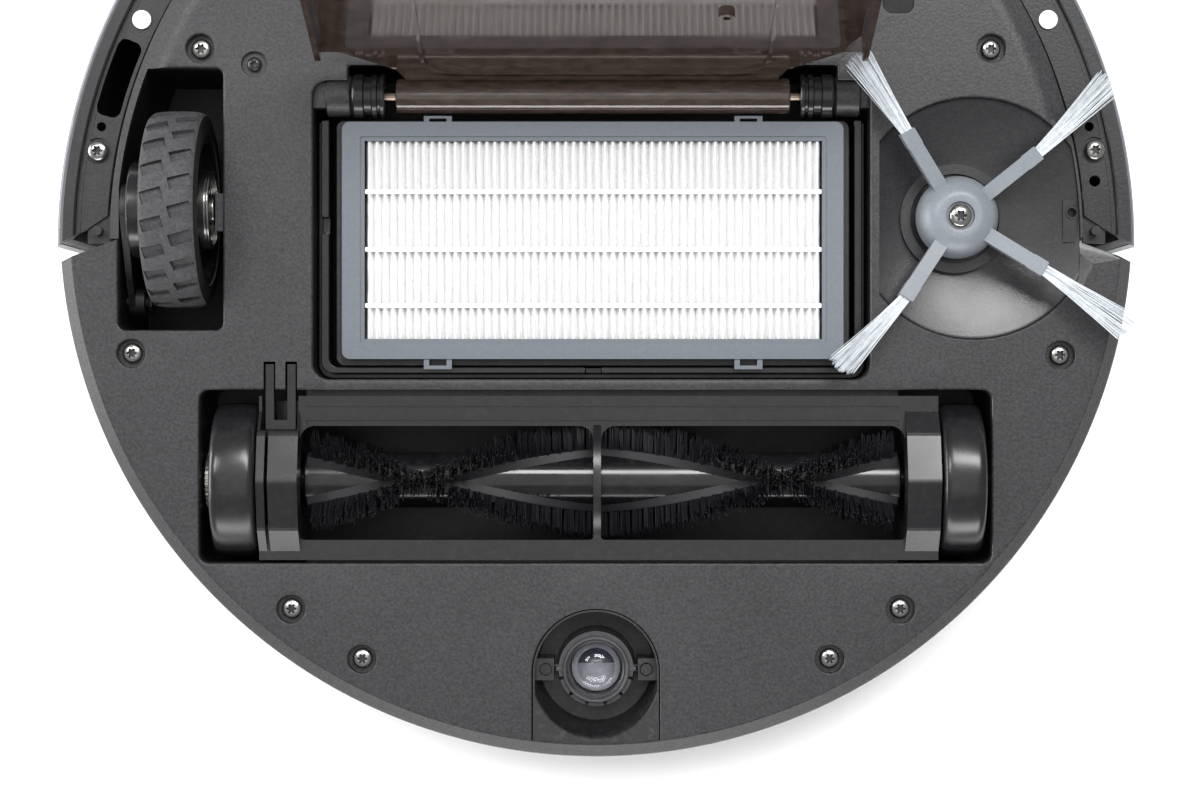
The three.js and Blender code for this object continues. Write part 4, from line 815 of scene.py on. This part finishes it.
def brush_bristles():
    random.seed(7)
    x0, x1 = BRUSH_X
    strands = []
    tufts = 51
    for row in ROWS:
        for t in range(tufts):
            along = x0 + 2.5 + (x1 - x0 - 5) * (t + 0.5) / tufts
            lean = random.uniform(-0.04, 0.04)
            for _ in range(40):
                dx, da = random.uniform(-1.45, 1.45), random.uniform(-0.1, 0.1)
                tip_x = dx * 1.12 + random.uniform(-0.25, 0.25)
                tip_a = da * 2.3 + lean + random.uniform(-0.03, 0.03)
                tip_r = BRUSH_R - random.uniform(0.1, 0.9)
                points = []
                for share in (0, 0.55, 1):
                    x = along + dx + (tip_x - dx) * share
                    angle = row_angle(row, along) + da + (tip_a - da) * share
                    points.append(on_roller(x, CORE_R + 0.4 + (tip_r - CORE_R - 0.4) * share, angle))
                strands.append(points)
    bristles = filaments(strands, 0.25, 3)
    dress(bristles, BRISTLE, "main_brush", "brush_bristles")


def arch(inner_r, low):
    side = 25.7
    crown = [(side, low)] + [(y, BASE_Z + h) for y, h in (
        (side, -3.4), (side - 0.3, -2.7), (15.6, 5.1), (14.6, 5.6), (1.2, 9.15), (0, 9.3))]
    outer = crown + [(-y, z) for y, z in crown[-2::-1]]
    inner = [(y, ROLLER[1] + z) for y, z in arc(0, 0, inner_r, 180, 0, 24)]
    return [(ROLLER[0] + y, z) for y, z in outer + [(-inner_r, low)] + inner + [(inner_r, low)]]


def window_outline(xs, ys):
    """A window with well rounded corners on its front side."""
    (x0, x1), (y0, y1), r, c = xs, ys, 4.6, 1.2
    return (arc(x1 - c, y0 + c, c, -90, 0, 4) + arc(x1 - r, y1 - r, r, 0, 90, 10)
            + arc(x0 + r, y1 - r, r, 90, 180, 10) + arc(x0 + c, y0 + c, c, 180, 270, 4))


def brush_guard():
    (x0, x1), (y0, y1) = span("brush_guard")[0], (-109.1, -56.6)
    low, high = BASE_Z - 3.4, BASE_Z - 0.3
    windows = ((-94.7, -0.8), (1.6, 98.9))
    guard = box((x0, x1), (y0, y1), (low, high))
    cut(guard, *[prism(window_outline(w, (-102.7, -66.2)), low - 1, high + 1) for w in windows],
        box((-1.2, 2), (ROLLER[0] - 17.5, ROLLER[0] + 12.5), (low - 1, high + 1)),
        box((x0 - 1, windows[0][0] + 1.5), (ROLLER[0] - 14, ROLLER[0] + 14), (low - 1, high + 1)),
        box((windows[1][1] - 1.5, x1 + 1), (ROLLER[0] - 14, ROLLER[0] + 14), (low - 1, high + 1)),
        box((windows[0][0] + 2, windows[1][1] - 2), (-66.3, -64.3), (high - 0.8, high + 1)),
        box((windows[0][0] + 2, windows[1][1] - 2), (-60.4, -59.8), (high - 0.5, high + 1)))
    round_rib = arc(*ROLLER, 22.3, 0, 180, 48) + arc(*ROLLER, BRUSH_R + 0.9, 180, 0, 48)
    rib = keep(prism(round_rib, -0.8, 1.6, "X"), box((-5, 5), (-103, -65.9), (low, 90)))
    legs = ROLLER[1] - 6
    add(guard, rib, prism(arch(12.6, legs), x0, x0 + 2.6, "X"),
        prism(arch(12.6, legs), x0 + 3.7, windows[0][0], "X"),
        prism(arch(12.6, legs), windows[1][1], x1, "X"))
    cut(guard, box((-106.9, -95.2), (-67.6, -50), (UNDER, 90)))
    dress(guard, SATIN, "brush_guard", "brush_guard", bevel=0.2, angle=10)


def guard_latch():
    low, high = span("guard_latch")[2]
    (y0, y1), fingers = span("guard_latch")[1], LATCH_FINGERS
    latch = box((fingers[0] - 1.3, fingers[1] + 1.3), (y0, y0 + 3), (low, high))
    add(latch, *[box((x - 1.3, x + 1.3), (y0 + 2, y1), (low + 0.01, high - 0.01)) for x in fingers])
    dress(latch, SATIN, "guard_latch", "guard_latch", bevel=0.5)


def drum(node, body):
    x0, x1 = span(node)[0]
    r = (span(node)[2][1] - span(node)[2][0]) / 2
    profile = [(3.3, x0), (r - 2.2, x0), (r - 1.3, x0 + 0.2), (r - 0.7, x0 + 0.8), (r - 0.3, x0 + 1.8)]
    steps = 6
    for i in range(steps + 1):
        x = x0 + 2.8 + (x1 - x0 - 5.6) * i / steps
        profile.append((r - 0.12 * (2 * i / steps - 1) ** 2, x))
    profile += [(r - 0.3, x1 - 1.8), (r - 0.7, x1 - 0.8), (r - 1.3, x1 - 0.2), (r - 2.2, x1), (3.3, x1)]
    made = lathe(profile, "X", (0, *ROLLER), 128, closed=True)
    for end in (x0, x1):
        groove = [(r - 6, end), (r - 5, end - 0.5), (r - 4, end), (r - 5, end + 0.5)]
        cut(made, lathe(groove, "X", (0, *ROLLER), 96, True))
    dress(made, SATIN, body, node, angle=40)


def drum_gear():
    teeth = 32
    points = []
    for k in range(teeth):
        for share, r in ((0.0, 7.9), (0.28, 7.9), (0.40, 8.9), (0.72, 8.9), (0.84, 7.9)):
            a = 2 * math.pi * (k + share) / teeth
            points.append((ROLLER[0] + r * math.cos(a), ROLLER[1] + r * math.sin(a)))
    gear = prism(points, -125.9, -122.9, "X")
    boss = [(0, -126.7), (5.1, -126.7), (5.5, -126.3), (5.5, -124.5), (0, -124.5)]
    add(gear, lathe(boss, "X", (0, *ROLLER), 64))
    cut(gear, rod(3.3, -128, -122, *ROLLER))
    dress(gear, STEEL, "left_drum", "drum_gear", bevel=0.12)


# ------------------------------------------------------------------ side brush
def side_brush():
    top = BASE_Z + 9
    dome = ((4, -2.5), (12.1, -2.5), (12.9, -2), (13.15, -1), (13.15, 1.2), (12.8, 3.4), (11.9, 5.4),
            (10.3, 7.2), (8.4, 8.4), (7.2, 8.9), (6.4, 9), (4.9, 9), (4.5, 8.7), (4.4, 7),
            (1.6, 7), (1.6, 0), (0, 0))
    hub = lathe([(0, 60), (4, 60)] + [(r, BASE_Z + h) for r, h in dome], centre=(*HUB, 0), segments=96)
    arms = []
    for angle in ARM_ANGLES:
        rise, run = 4.5, 22.0
        lean = math.atan2(rise, run)
        edge = [(-11.4, 2.3), (5.6, 2.3), (6.2, 2.5), (11, 2.5), (11.2, 2.3)]
        outline = [(x, -y) for x, y in edge] + edge[::-1]
        arm = prism(outline, -2, 2)
        out = Matrix.Translation(Vector((20.8, 0, 0)) * MM) @ Matrix.Rotation(-lean, 4, "Y")
        arm.data.transform(Matrix.Rotation(math.radians(angle), 4, "Z") @ out)
        arm.data.transform(Matrix.Translation(Vector((*HUB, BASE_Z + 6.75)) * MM))
        arms.append(arm)
    add(hub, *arms)
    cut(hub, post(4.4, top - 2, top + 5, *HUB))
    dress(hub, BRUSH_GREY, "side_brush", "side_brush", bevel=0.6, angle=40, segments=3)


TUFT_TIPS = ((64.4, 3.3), (61.4, 0.6), (63.0, -4.7), (65.9, -1.2))  # reach, and sideways lean


def side_brush_tuft(index, angle, tip):
    """A flat bundle of nylon filaments that fans out from its arm."""
    random.seed(40 + index)
    strands = []
    turn = Matrix.Rotation(math.radians(angle), 3, "Z")
    for _ in range(95):
        root = random.uniform(-1, 1)
        fan = root * 0.8 + random.uniform(-0.3, 0.3)
        reach = tip[0] - 1.6 * abs(fan) - random.uniform(0, 2.2)
        height = random.uniform(-0.9, 0.9)
        points = []
        for share in (0, 0.35, 0.7, 1):
            r = 30.5 + (reach - 30.5) * share
            w = root * 1.7 + (fan * 4.9 + tip[1] - root * 1.7) * share ** 1.15
            z = BASE_Z + 9.1 + 2.4 * share + height * (0.5 + 0.5 * share)
            points.append(turn @ Vector((r, w, 0)) + Vector((*HUB, z)))
        strands.append(points)
    bundle = filaments(strands, 0.13)
    dress(bundle, NYLON, "side_brush", f"side_brush_tuft_{index}")


# ------------------------------------------------------------------ bin, filter and lid
BIN_TOP = span("dust_bin")[2][1]
FILTER_X, FILTER_Y, FILTER_TOP = (-81.7, 79.6), (-44.7, 31.6), BASE_Z - 4
MEDIA_X, MEDIA_Y, PLEATS = (-74.5, 72.8), (-38.3, 25.5), 58
CLIP_X, RIB_Y = (-50.9, 49.1), (9.2, -9.4, -27.5)
LID_X = span("bin_lid")[0]


def bin_collar():
    foot = prism(round_rect((RECESS_X[0] + 0.3, RECESS_X[1] - 0.3), (RECESS_Y[0] + 0.3, 60), 4.8), 57, 61)
    groove = 1.9
    add(foot, prism(round_rect((RECESS_X[0] + groove, RECESS_X[1] - groove), (RECESS_Y[0] + groove, 60), 4),
                    60, BIN_TOP - 0.2))
    x0, x1 = span("dust_bin")[0]
    cut(foot, prism(round_rect((x0 - 2.2, x1 + 1.4), (-47.3, 70), 3), 50, 80),
        box((-3.5, 1.9), (-52, -45), (64, 70)), box((-95, -80), (-4, 1.3), (64, 70)))
    keep(foot, box((-100, 100), (-60, 32.5), (40, 80)))
    dress(foot, SATIN, "chassis", "bin_collar", bevel=0.3)


def dust_bin():
    (x0, x1), (y0, y1), (z0, z1) = span("dust_bin")
    tub = prism(round_rect((x0, x1), (y0, y1), 3), z0, z1)
    cut(tub, prism(round_rect((x0 + 6, x1 - 6), (y0 + 4.5, y1 - 4.5), 3), z0 + 2, z1 + 1))
    # The bin is painted near-black as shade under the filter.
    dress(tub, PAINTED_SHADE_BLACK, "chassis", "dust_bin", bevel=0.4)


def filter_frame():
    low = BIN_TOP + 0.3
    body = prism(round_rect(FILTER_X, FILTER_Y, 2.5), low, FILTER_TOP)
    for x in CLIP_X:
        for y0, y1, hole in ((FILTER_Y[1] - 1, FILTER_Y[1] + 1.9, (0.8, 2.1)),
                             (FILTER_Y[0] - 3.3, FILTER_Y[0] + 1, (1.2, 3.2))):
            loop = box((x - 4.5, x + 4.5), (y0, y1), (low + 0.01, FILTER_TOP - 0.6))
            cut(loop, box((x - 2.8, x + 2.8), (y0 + hole[0], y0 + hole[1]), (low - 1, FILTER_TOP)))
            add(body, loop)
    cut(body, box(MEDIA_X, MEDIA_Y, (low - 1, FILTER_TOP + 1)))
    rim = prism(round_rect((MEDIA_X[0] - 1.4, MEDIA_X[1] + 1.4), (MEDIA_Y[0] - 1.4, MEDIA_Y[1] + 1.4), 0.8),
                FILTER_TOP - 0.5, FILTER_TOP + 1)
    cut(body, rim)
    dress(body, FRAME_GREY, "filter", "filter_frame", bevel=0.35)


# a pleat's points, each a share of the pitch and a drop from the crest
FOLD = ((0.30, 1.2), (0.38, 0.25), (0.5, 0), (0.62, 0.25), (0.70, 1.2))


def filter_pleats():
    """Folded paper: rounded crests, deep valleys, and three glued cross ribs."""
    bm = bmesh.new()
    (x0, x1), (y0, y1) = (MEDIA_X[0] + 0.1, MEDIA_X[1] - 0.1), (MEDIA_Y[0] + 0.1, MEDIA_Y[1] - 0.1)
    pitch = (x1 - x0) / PLEATS
    crest, valley = FILTER_TOP - 1.3, FILTER_TOP - 5
    section = []
    for i in range(PLEATS):
        left = x0 + i * pitch
        section.append((left, valley))
        section += [(left + share * pitch, crest - drop) for share, drop in FOLD]
    section.append((x1, valley))
    rows = 24
    random.seed(11)
    wobble = [[random.uniform(-0.10, 0.10) for _ in range(PLEATS + 1)] for _ in range(rows + 1)]
    grid = []
    for j in range(rows + 1):
        y = y0 + (y1 - y0) * j / rows
        line = []
        for n, (x, z) in enumerate(section):
            sway = wobble[j][n // (len(FOLD) + 1)]
            line.append(bm.verts.new(Vector((min(max(x + sway, x0), x1), y, z + 0.5 * sway)) * MM))
        grid.append(line)
    for low, high in zip(grid, grid[1:]):
        for k in range(len(section) - 1):
            bm.faces.new((low[k], low[k + 1], high[k + 1], high[k]))
    bed = [[bm.verts.new(Vector((x, y, valley - 3)) * MM) for x in (x0, x1)] for y in (y0, y1)]
    bm.faces.new((bed[0][0], bed[0][1], bed[1][1], bed[1][0]))
    bm.faces.new([*grid[0][::-1], bed[0][0], bed[0][1]])
    bm.faces.new([*grid[-1], bed[1][1], bed[1][0]])
    bm.faces.new([line[0] for line in grid] + [bed[1][0], bed[0][0]])
    bm.faces.new([line[-1] for line in grid[::-1]] + [bed[0][1], bed[1][1]])
    pleats = mesh_object(bm)
    dress(pleats, PAPER, "filter", "filter_pleats", angle=60)
    for k, y in enumerate(RIB_Y):
        rib = box((x0, x1), (y - 0.75, y + 0.75), (crest - 1.0, crest + 0.35))
        dress(rib, PAPER, "filter", None, bevel=0.3, name=f"filter_rib_{k + 1}")
    return pleats


LID_OPEN = 72  # degrees from +Y to the open lid


def swing_open(obj):
    turn = Matrix.Rotation(math.radians(LID_OPEN - 180), 4, "X")
    obj.data.transform(Matrix.Translation(Vector((0, *HINGE)) * MM) @ turn)
    return obj


def bin_lid():
    (x0, x1), (near, far) = LID_X, (5.4, 88.8)
    top = BASE_Z - HINGE[1]
    thick, w, t = 2.2, 24, 23.6
    corner = ((0, t + 0.8), (0.8, t), (7, t), (w, 11), (w + 2, near))  # in from a side, and from the axis
    plan = (arc(x1 - 3, -far + 3, 3, -90, 0, 6) + [(x1 - inward, -out) for inward, out in corner]
            + [(x0 + inward, -out) for inward, out in corner[::-1]] + arc(x0 + 3, -far + 3, 3, 180, 270, 6))
    lid = prism(plan, top - thick, top)
    inside = top - thick
    low = inside - 4.5
    add(lid, box((x0, x0 + 1.8), (-far + 2, -t - 3), (low, inside + 0.5)),
        box((x1 - 1.8, x1), (-far + 2, -t - 3), (low, inside + 0.5)),
        box((x0 + 2, x1 - 2), (-far, -far + 1.6), (top - 3.6, inside + 0.5)),
        box((x0 + w + 2.5, x1 - w - 2.5), (-near - 2.5, -near), (top - 3.5, inside + 0.5)),
        box((x0 + w + 2.5, x1 - w - 2.5), (-near - 1, -3.6), (top - 3.5, top - 2.1)))
    outline = prism(round_rect((-55.7, 55.4), (-78, -9), 12), inside - 0.9, inside + 0.5)
    cut(outline, prism(round_rect((-54.5, 54.2), (-76.8, -10.2), 10.8), inside - 2, inside + 1))
    add(lid, outline, ring(1.1, 2.6, inside - 1.6, inside + 0.3, 39.8, -50, 48))
    swing_open(lid)
    dress(lid, SMOKE, "lid", "bin_lid", bevel=0.4, angle=40)


def lid_barrel():
    barrel = lathe([
        (1.8, -64.3), (5.2, -64.3), (5.75, -63.8), (5.75, 61.9), (5.2, 62.4), (1.8, 62.4)],
        "X", (0, *HINGE), 72, closed=True)
    dress(barrel, SMOKE, "lid", None, angle=50, name="lid_barrel_skin")


def damper(side):
    node = f"damper_{side}"
    x0, x1 = span(node)[0]
    sign = 1 if side == "left" else -1
    a, b = (x0, x1) if sign > 0 else (x1, x0)
    profile = [(1.8, a), (6.3, a), (6.9, a + sign * 0.5), (7.1, a + sign)]
    profile += [(r, b - sign * h) for r, h in (
        (7.1, 7), (6.3, 6.6), (6.3, 4.4), (7.1, 4), (7.1, 2.6), (6.2, 2.3), (6.2, 1.6), (7.1, 1.3), (7.1, 0.4),
        (6.7, 0), (1.8, 0))]
    made = lathe(profile, "X", (0, *HINGE), 72, closed=True)
    dress(made, SATIN, "chassis", node, angle=30)


# ------------------------------------------------------------------ rear sensor
def sensor_deck():
    low, top = BASE_Z - 26, BASE_Z - 0.3
    deck = prism(slot_outline(-0.3), low, top)
    well = loft([(arc(0, y, r, 0, 360, 95)[:-1], z) for y, r, z in (
        (SENSOR_Y + 0.4, 18.4, low + 7), (SENSOR_Y - 1.2, 20.2, top - 0.6), (SENSOR_Y - 1.3, 20.8, top + 0.2),
        (SENSOR_Y - 1.3, 20.8, OVER))])
    keep(well, prism(slot_outline(-0.9), low, BASE_Z + 9))
    cut(deck, well, post(12.9, low + 2, BASE_Z, 0, SENSOR_Y, 96))
    for x, near, far, peg_r, peg_top in ((-16.2, -20.1, -13.5, 1.7, -5.8), (16.2, 13.5, 20.1, 1.8, -4.4)):
        add(deck, box((near, far), (SENSOR_Y - 3.5, SENSOR_Y + 3.5), (low + 1, BASE_Z - 4.6)))
        cut(deck, post(2.15, BASE_Z - 6.5, BASE_Z, x, SENSOR_Y))
        add(deck, post(peg_r, BASE_Z - 7, BASE_Z + peg_top, x, SENSOR_Y, 32))
    cut(deck, rod(0.95, -18.5, 18.5, SENSOR_Y, PIN_Z, 16))
    dress(deck, BLACK, "chassis", "sensor_deck", bevel=0.15, angle=25)


def sensor_barrel():
    flange = BASE_Z - 6.4
    floor = span("sensor_lens")[2][0] - 0.3
    profile = [
        (0, 55.5), (9.5, 55.5), (10.5, 57), (10.5, flange - 2), (12.1, flange - 2), (12.1, flange),
        (10.7, flange),
        (10.7, BASE_Z - 4.3), (10.4, BASE_Z - 4), (9.9, BASE_Z - 4), (9.6, BASE_Z - 4.3), (9.1, BASE_Z - 6.4),
        (8.6, BASE_Z - 6.8),
        (8.5, BASE_Z - 8.5), (8.3, floor), (0, floor)]
    barrel = lathe(profile, centre=(0, SENSOR_Y, 0), segments=96)
    notches = []
    for angle in range(195, 346, 30):
        notch = box((10.9, 14), (-0.5, 0.5), (flange - 3, flange + 1))
        turn = Matrix.Rotation(math.radians(angle), 4, "Z")
        notch.data.transform(Matrix.Translation(Vector((0, SENSOR_Y, 0)) * MM) @ turn)
        notches.append(notch)
    cut(barrel, *notches)
    add(barrel, rod(0.65, -18.2, 18.2, SENSOR_Y, PIN_Z, 16))
    dress(barrel, BARREL_GREY, "sensor", "sensor_barrel", bevel=0.12, angle=30)
    bars = box((-12.9, -10.4), (SENSOR_Y - 0.7, SENSOR_Y + 0.7), (flange - 1.9, flange + 0.3))
    add(bars, box((10.4, 12.9), (SENSOR_Y - 0.7, SENSOR_Y + 0.7), (flange - 1.9, flange + 0.3)))
    dress(bars, BARREL_GREY, "sensor", bevel=0.15, name="sensor_bar")


def sensor_lens():
    low = span("sensor_lens")[2][0]
    profile = [(r, low + h) for r, h in (
        (0, 0.9), (7.9, 0.9), (7.9, 2), (6.9, 3.2), (5.4, 4.3), (3.4, 5.1), (1.6, 5.35), (0, 5.4))]
    lens = lathe(profile, centre=(0, SENSOR_Y, 0), segments=72)
    dress(lens, GLASS, "sensor", "sensor_lens", angle=50)
    rim = ring(5.4, 7.8, low, low + 0.7, 0, SENSOR_Y)
    dress(rim, LENS_RIM, "sensor", None, angle=50, name="sensor_lens_rim")
    base = post(5.3, low, low + 0.4, 0, SENSOR_Y, 72)
    dress(base, LENS_GREY, "sensor", None, angle=50, name="sensor_lens_base")
    shade = keep(post(5.3, low + 0.41, low + 0.65, 0, SENSOR_Y, 72),
                 box((-9, 9), (SENSOR_Y + 1.1, SENSOR_Y + 9), (low, low + 2)))
    dress(shade, LENS_DARK, "sensor", None, angle=50, name="sensor_lens_shade")


# ------------------------------------------------------------------ CAD pieces that only need a finish
CARRIED = {
    "arm_spring": SPRING, "bumper_spring_left": SPRING, "bumper_spring_right": SPRING,
    "hinge_pin": COPPER, "battery_pack": BATTERY, "main_board": BOARD, "fan_housing": BLACK,
    "fan_impeller": BLACK, "brush_motor": DARK_STEEL_AND_RECESS_SHADE, "side_brush_motor": DARK_STEEL_AND_RECESS_SHADE,
}


def carried_over():
    for node, finish in CARRIED.items():
        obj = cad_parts[node]
        obj.data.materials.clear()
        obj.data.materials.append(finish)
        smooth(obj, 38, 0 if finish is SPRING else 0.15)


# ------------------------------------------------------------------ stage, light and camera
def area_light(name, place, target, size, power):
    data = bpy.data.lights.new(name, "AREA")
    data.shape = "RECTANGLE"
    data.size, data.size_y = size
    data.energy = power
    lamp = bpy.data.objects.new(name, data)
    bpy.context.scene.collection.objects.link(lamp)
    lamp.location = place
    lamp.rotation_euler = (Vector(target) - Vector(place)).to_track_quat("-Z", "Y").to_euler()
    return lamp


LAMPS = (  # name, place, target and size in metres, power in watts; the overhead lamp makes no reflections
    ("overhead", (0, 0.32, 1.9), (0, -0.05, 0.05), (1.0, 0.35), 24),
    ("key", (0.34, 0.92, 1.6), (0.1, 0, 0.05), (1.1, 0.45), 28),
    ("ceiling", (0, -0.05, 2.1), (0, -0.05, 0.05), (1.6, 1.6), 6),
    ("front", (0, -1.5, 0.5), (0, -0.1, 0.05), (1.6, 0.4), 15),
    ("left", (-1.5, 0.1, 0.42), (0, 0, 0.05), (1.2, 0.4), 20),
    ("corner", (-0.95, 0.68, 1.6), (0, 0, 0.05), (0.6, 0.4), 11),
)


def studio():
    floor = box((-3000, 3000), (-3000, 3000), (-4, -0.05))
    paper = material("studio_paper", (250, 250, 250), 0.9, grain=200, bump=0.02, vary=0.01,
                     Emission_Color=(1, 1, 1, 1), Emission_Strength=0.02)
    floor.data.materials.append(paper)
    world = bpy.data.worlds.new("studio_world")
    world.use_nodes = True
    world.node_tree.nodes["Background"].inputs["Color"].default_value = (1, 1, 1, 1)
    world.node_tree.nodes["Background"].inputs["Strength"].default_value = 0.36
    bpy.context.scene.world = world
    for name, place, target, size, power in LAMPS:
        lamp = area_light(name, place, target, size, power)
        lamp.visible_glossy = name != "overhead"
    bpy.context.scene.view_settings.view_transform = "Standard"


CAMERA_XY, CAMERA_HEIGHT = (1.3, -57.9), 800  # straight above, measured from the base plane


def camera():
    data = bpy.data.cameras.new("camera")
    data.lens, data.sensor_width = 75, 36
    eye = bpy.data.objects.new("camera", data)
    bpy.context.scene.collection.objects.link(eye)
    eye.location = Vector((*CAMERA_XY, BASE_Z + CAMERA_HEIGHT)) * MM
    bpy.context.scene.camera = eye


def build():
    camera()
    studio()
    base_plate()
    wheel_housing()
    brush_housing()
    bin_housing()
    side_wall()
    top_cover()
    power_button()
    for i, (x, y) in enumerate(SCREWS):
        screw(x, y, 3.2, BASE_Z - 1.2, 11, "chassis", f"case_screw_{i + 1}")
    screw(*SMALL_SCREW, 2.3, BASE_Z + 0.6, 8, "chassis", "small_screw", DARK_STEEL_AND_RECESS_SHADE, "dark_steel")
    bumper_shell()
    bumper_strip()
    for side in ("left", "right"):
        bumper_plug(side)
        node = f"bumper_screw_{side}"
        screw(middle(node, 0), middle(node, 1), 3.2, FLANGE[1] + 2.2, 8, "bumper", node)
        damper(side)
    tyre()
    wheel_rim()
    wheel_axle()
    wheel_motor()
    swing_arm()
    brush_core()
    brush_ridges()
    brush_bristles()
    brush_guard()
    guard_latch()
    drum("drum_left", "left_drum")
    drum("drum_right", "right_drum")
    drum_gear()
    side_brush()
    for i, angle in enumerate(ARM_ANGLES):
        side_brush_tuft(i + 1, angle, TUFT_TIPS[i])
    screw(*HUB, 3.6, BASE_Z + 9.3, 9, "side_brush", "side_brush_screw")
    bin_collar()
    dust_bin()
    filter_frame()
    filter_pleats()
    bin_lid()
    lid_barrel()
    sensor_deck()
    sensor_barrel()
    sensor_lens()
    carried_over()


build()
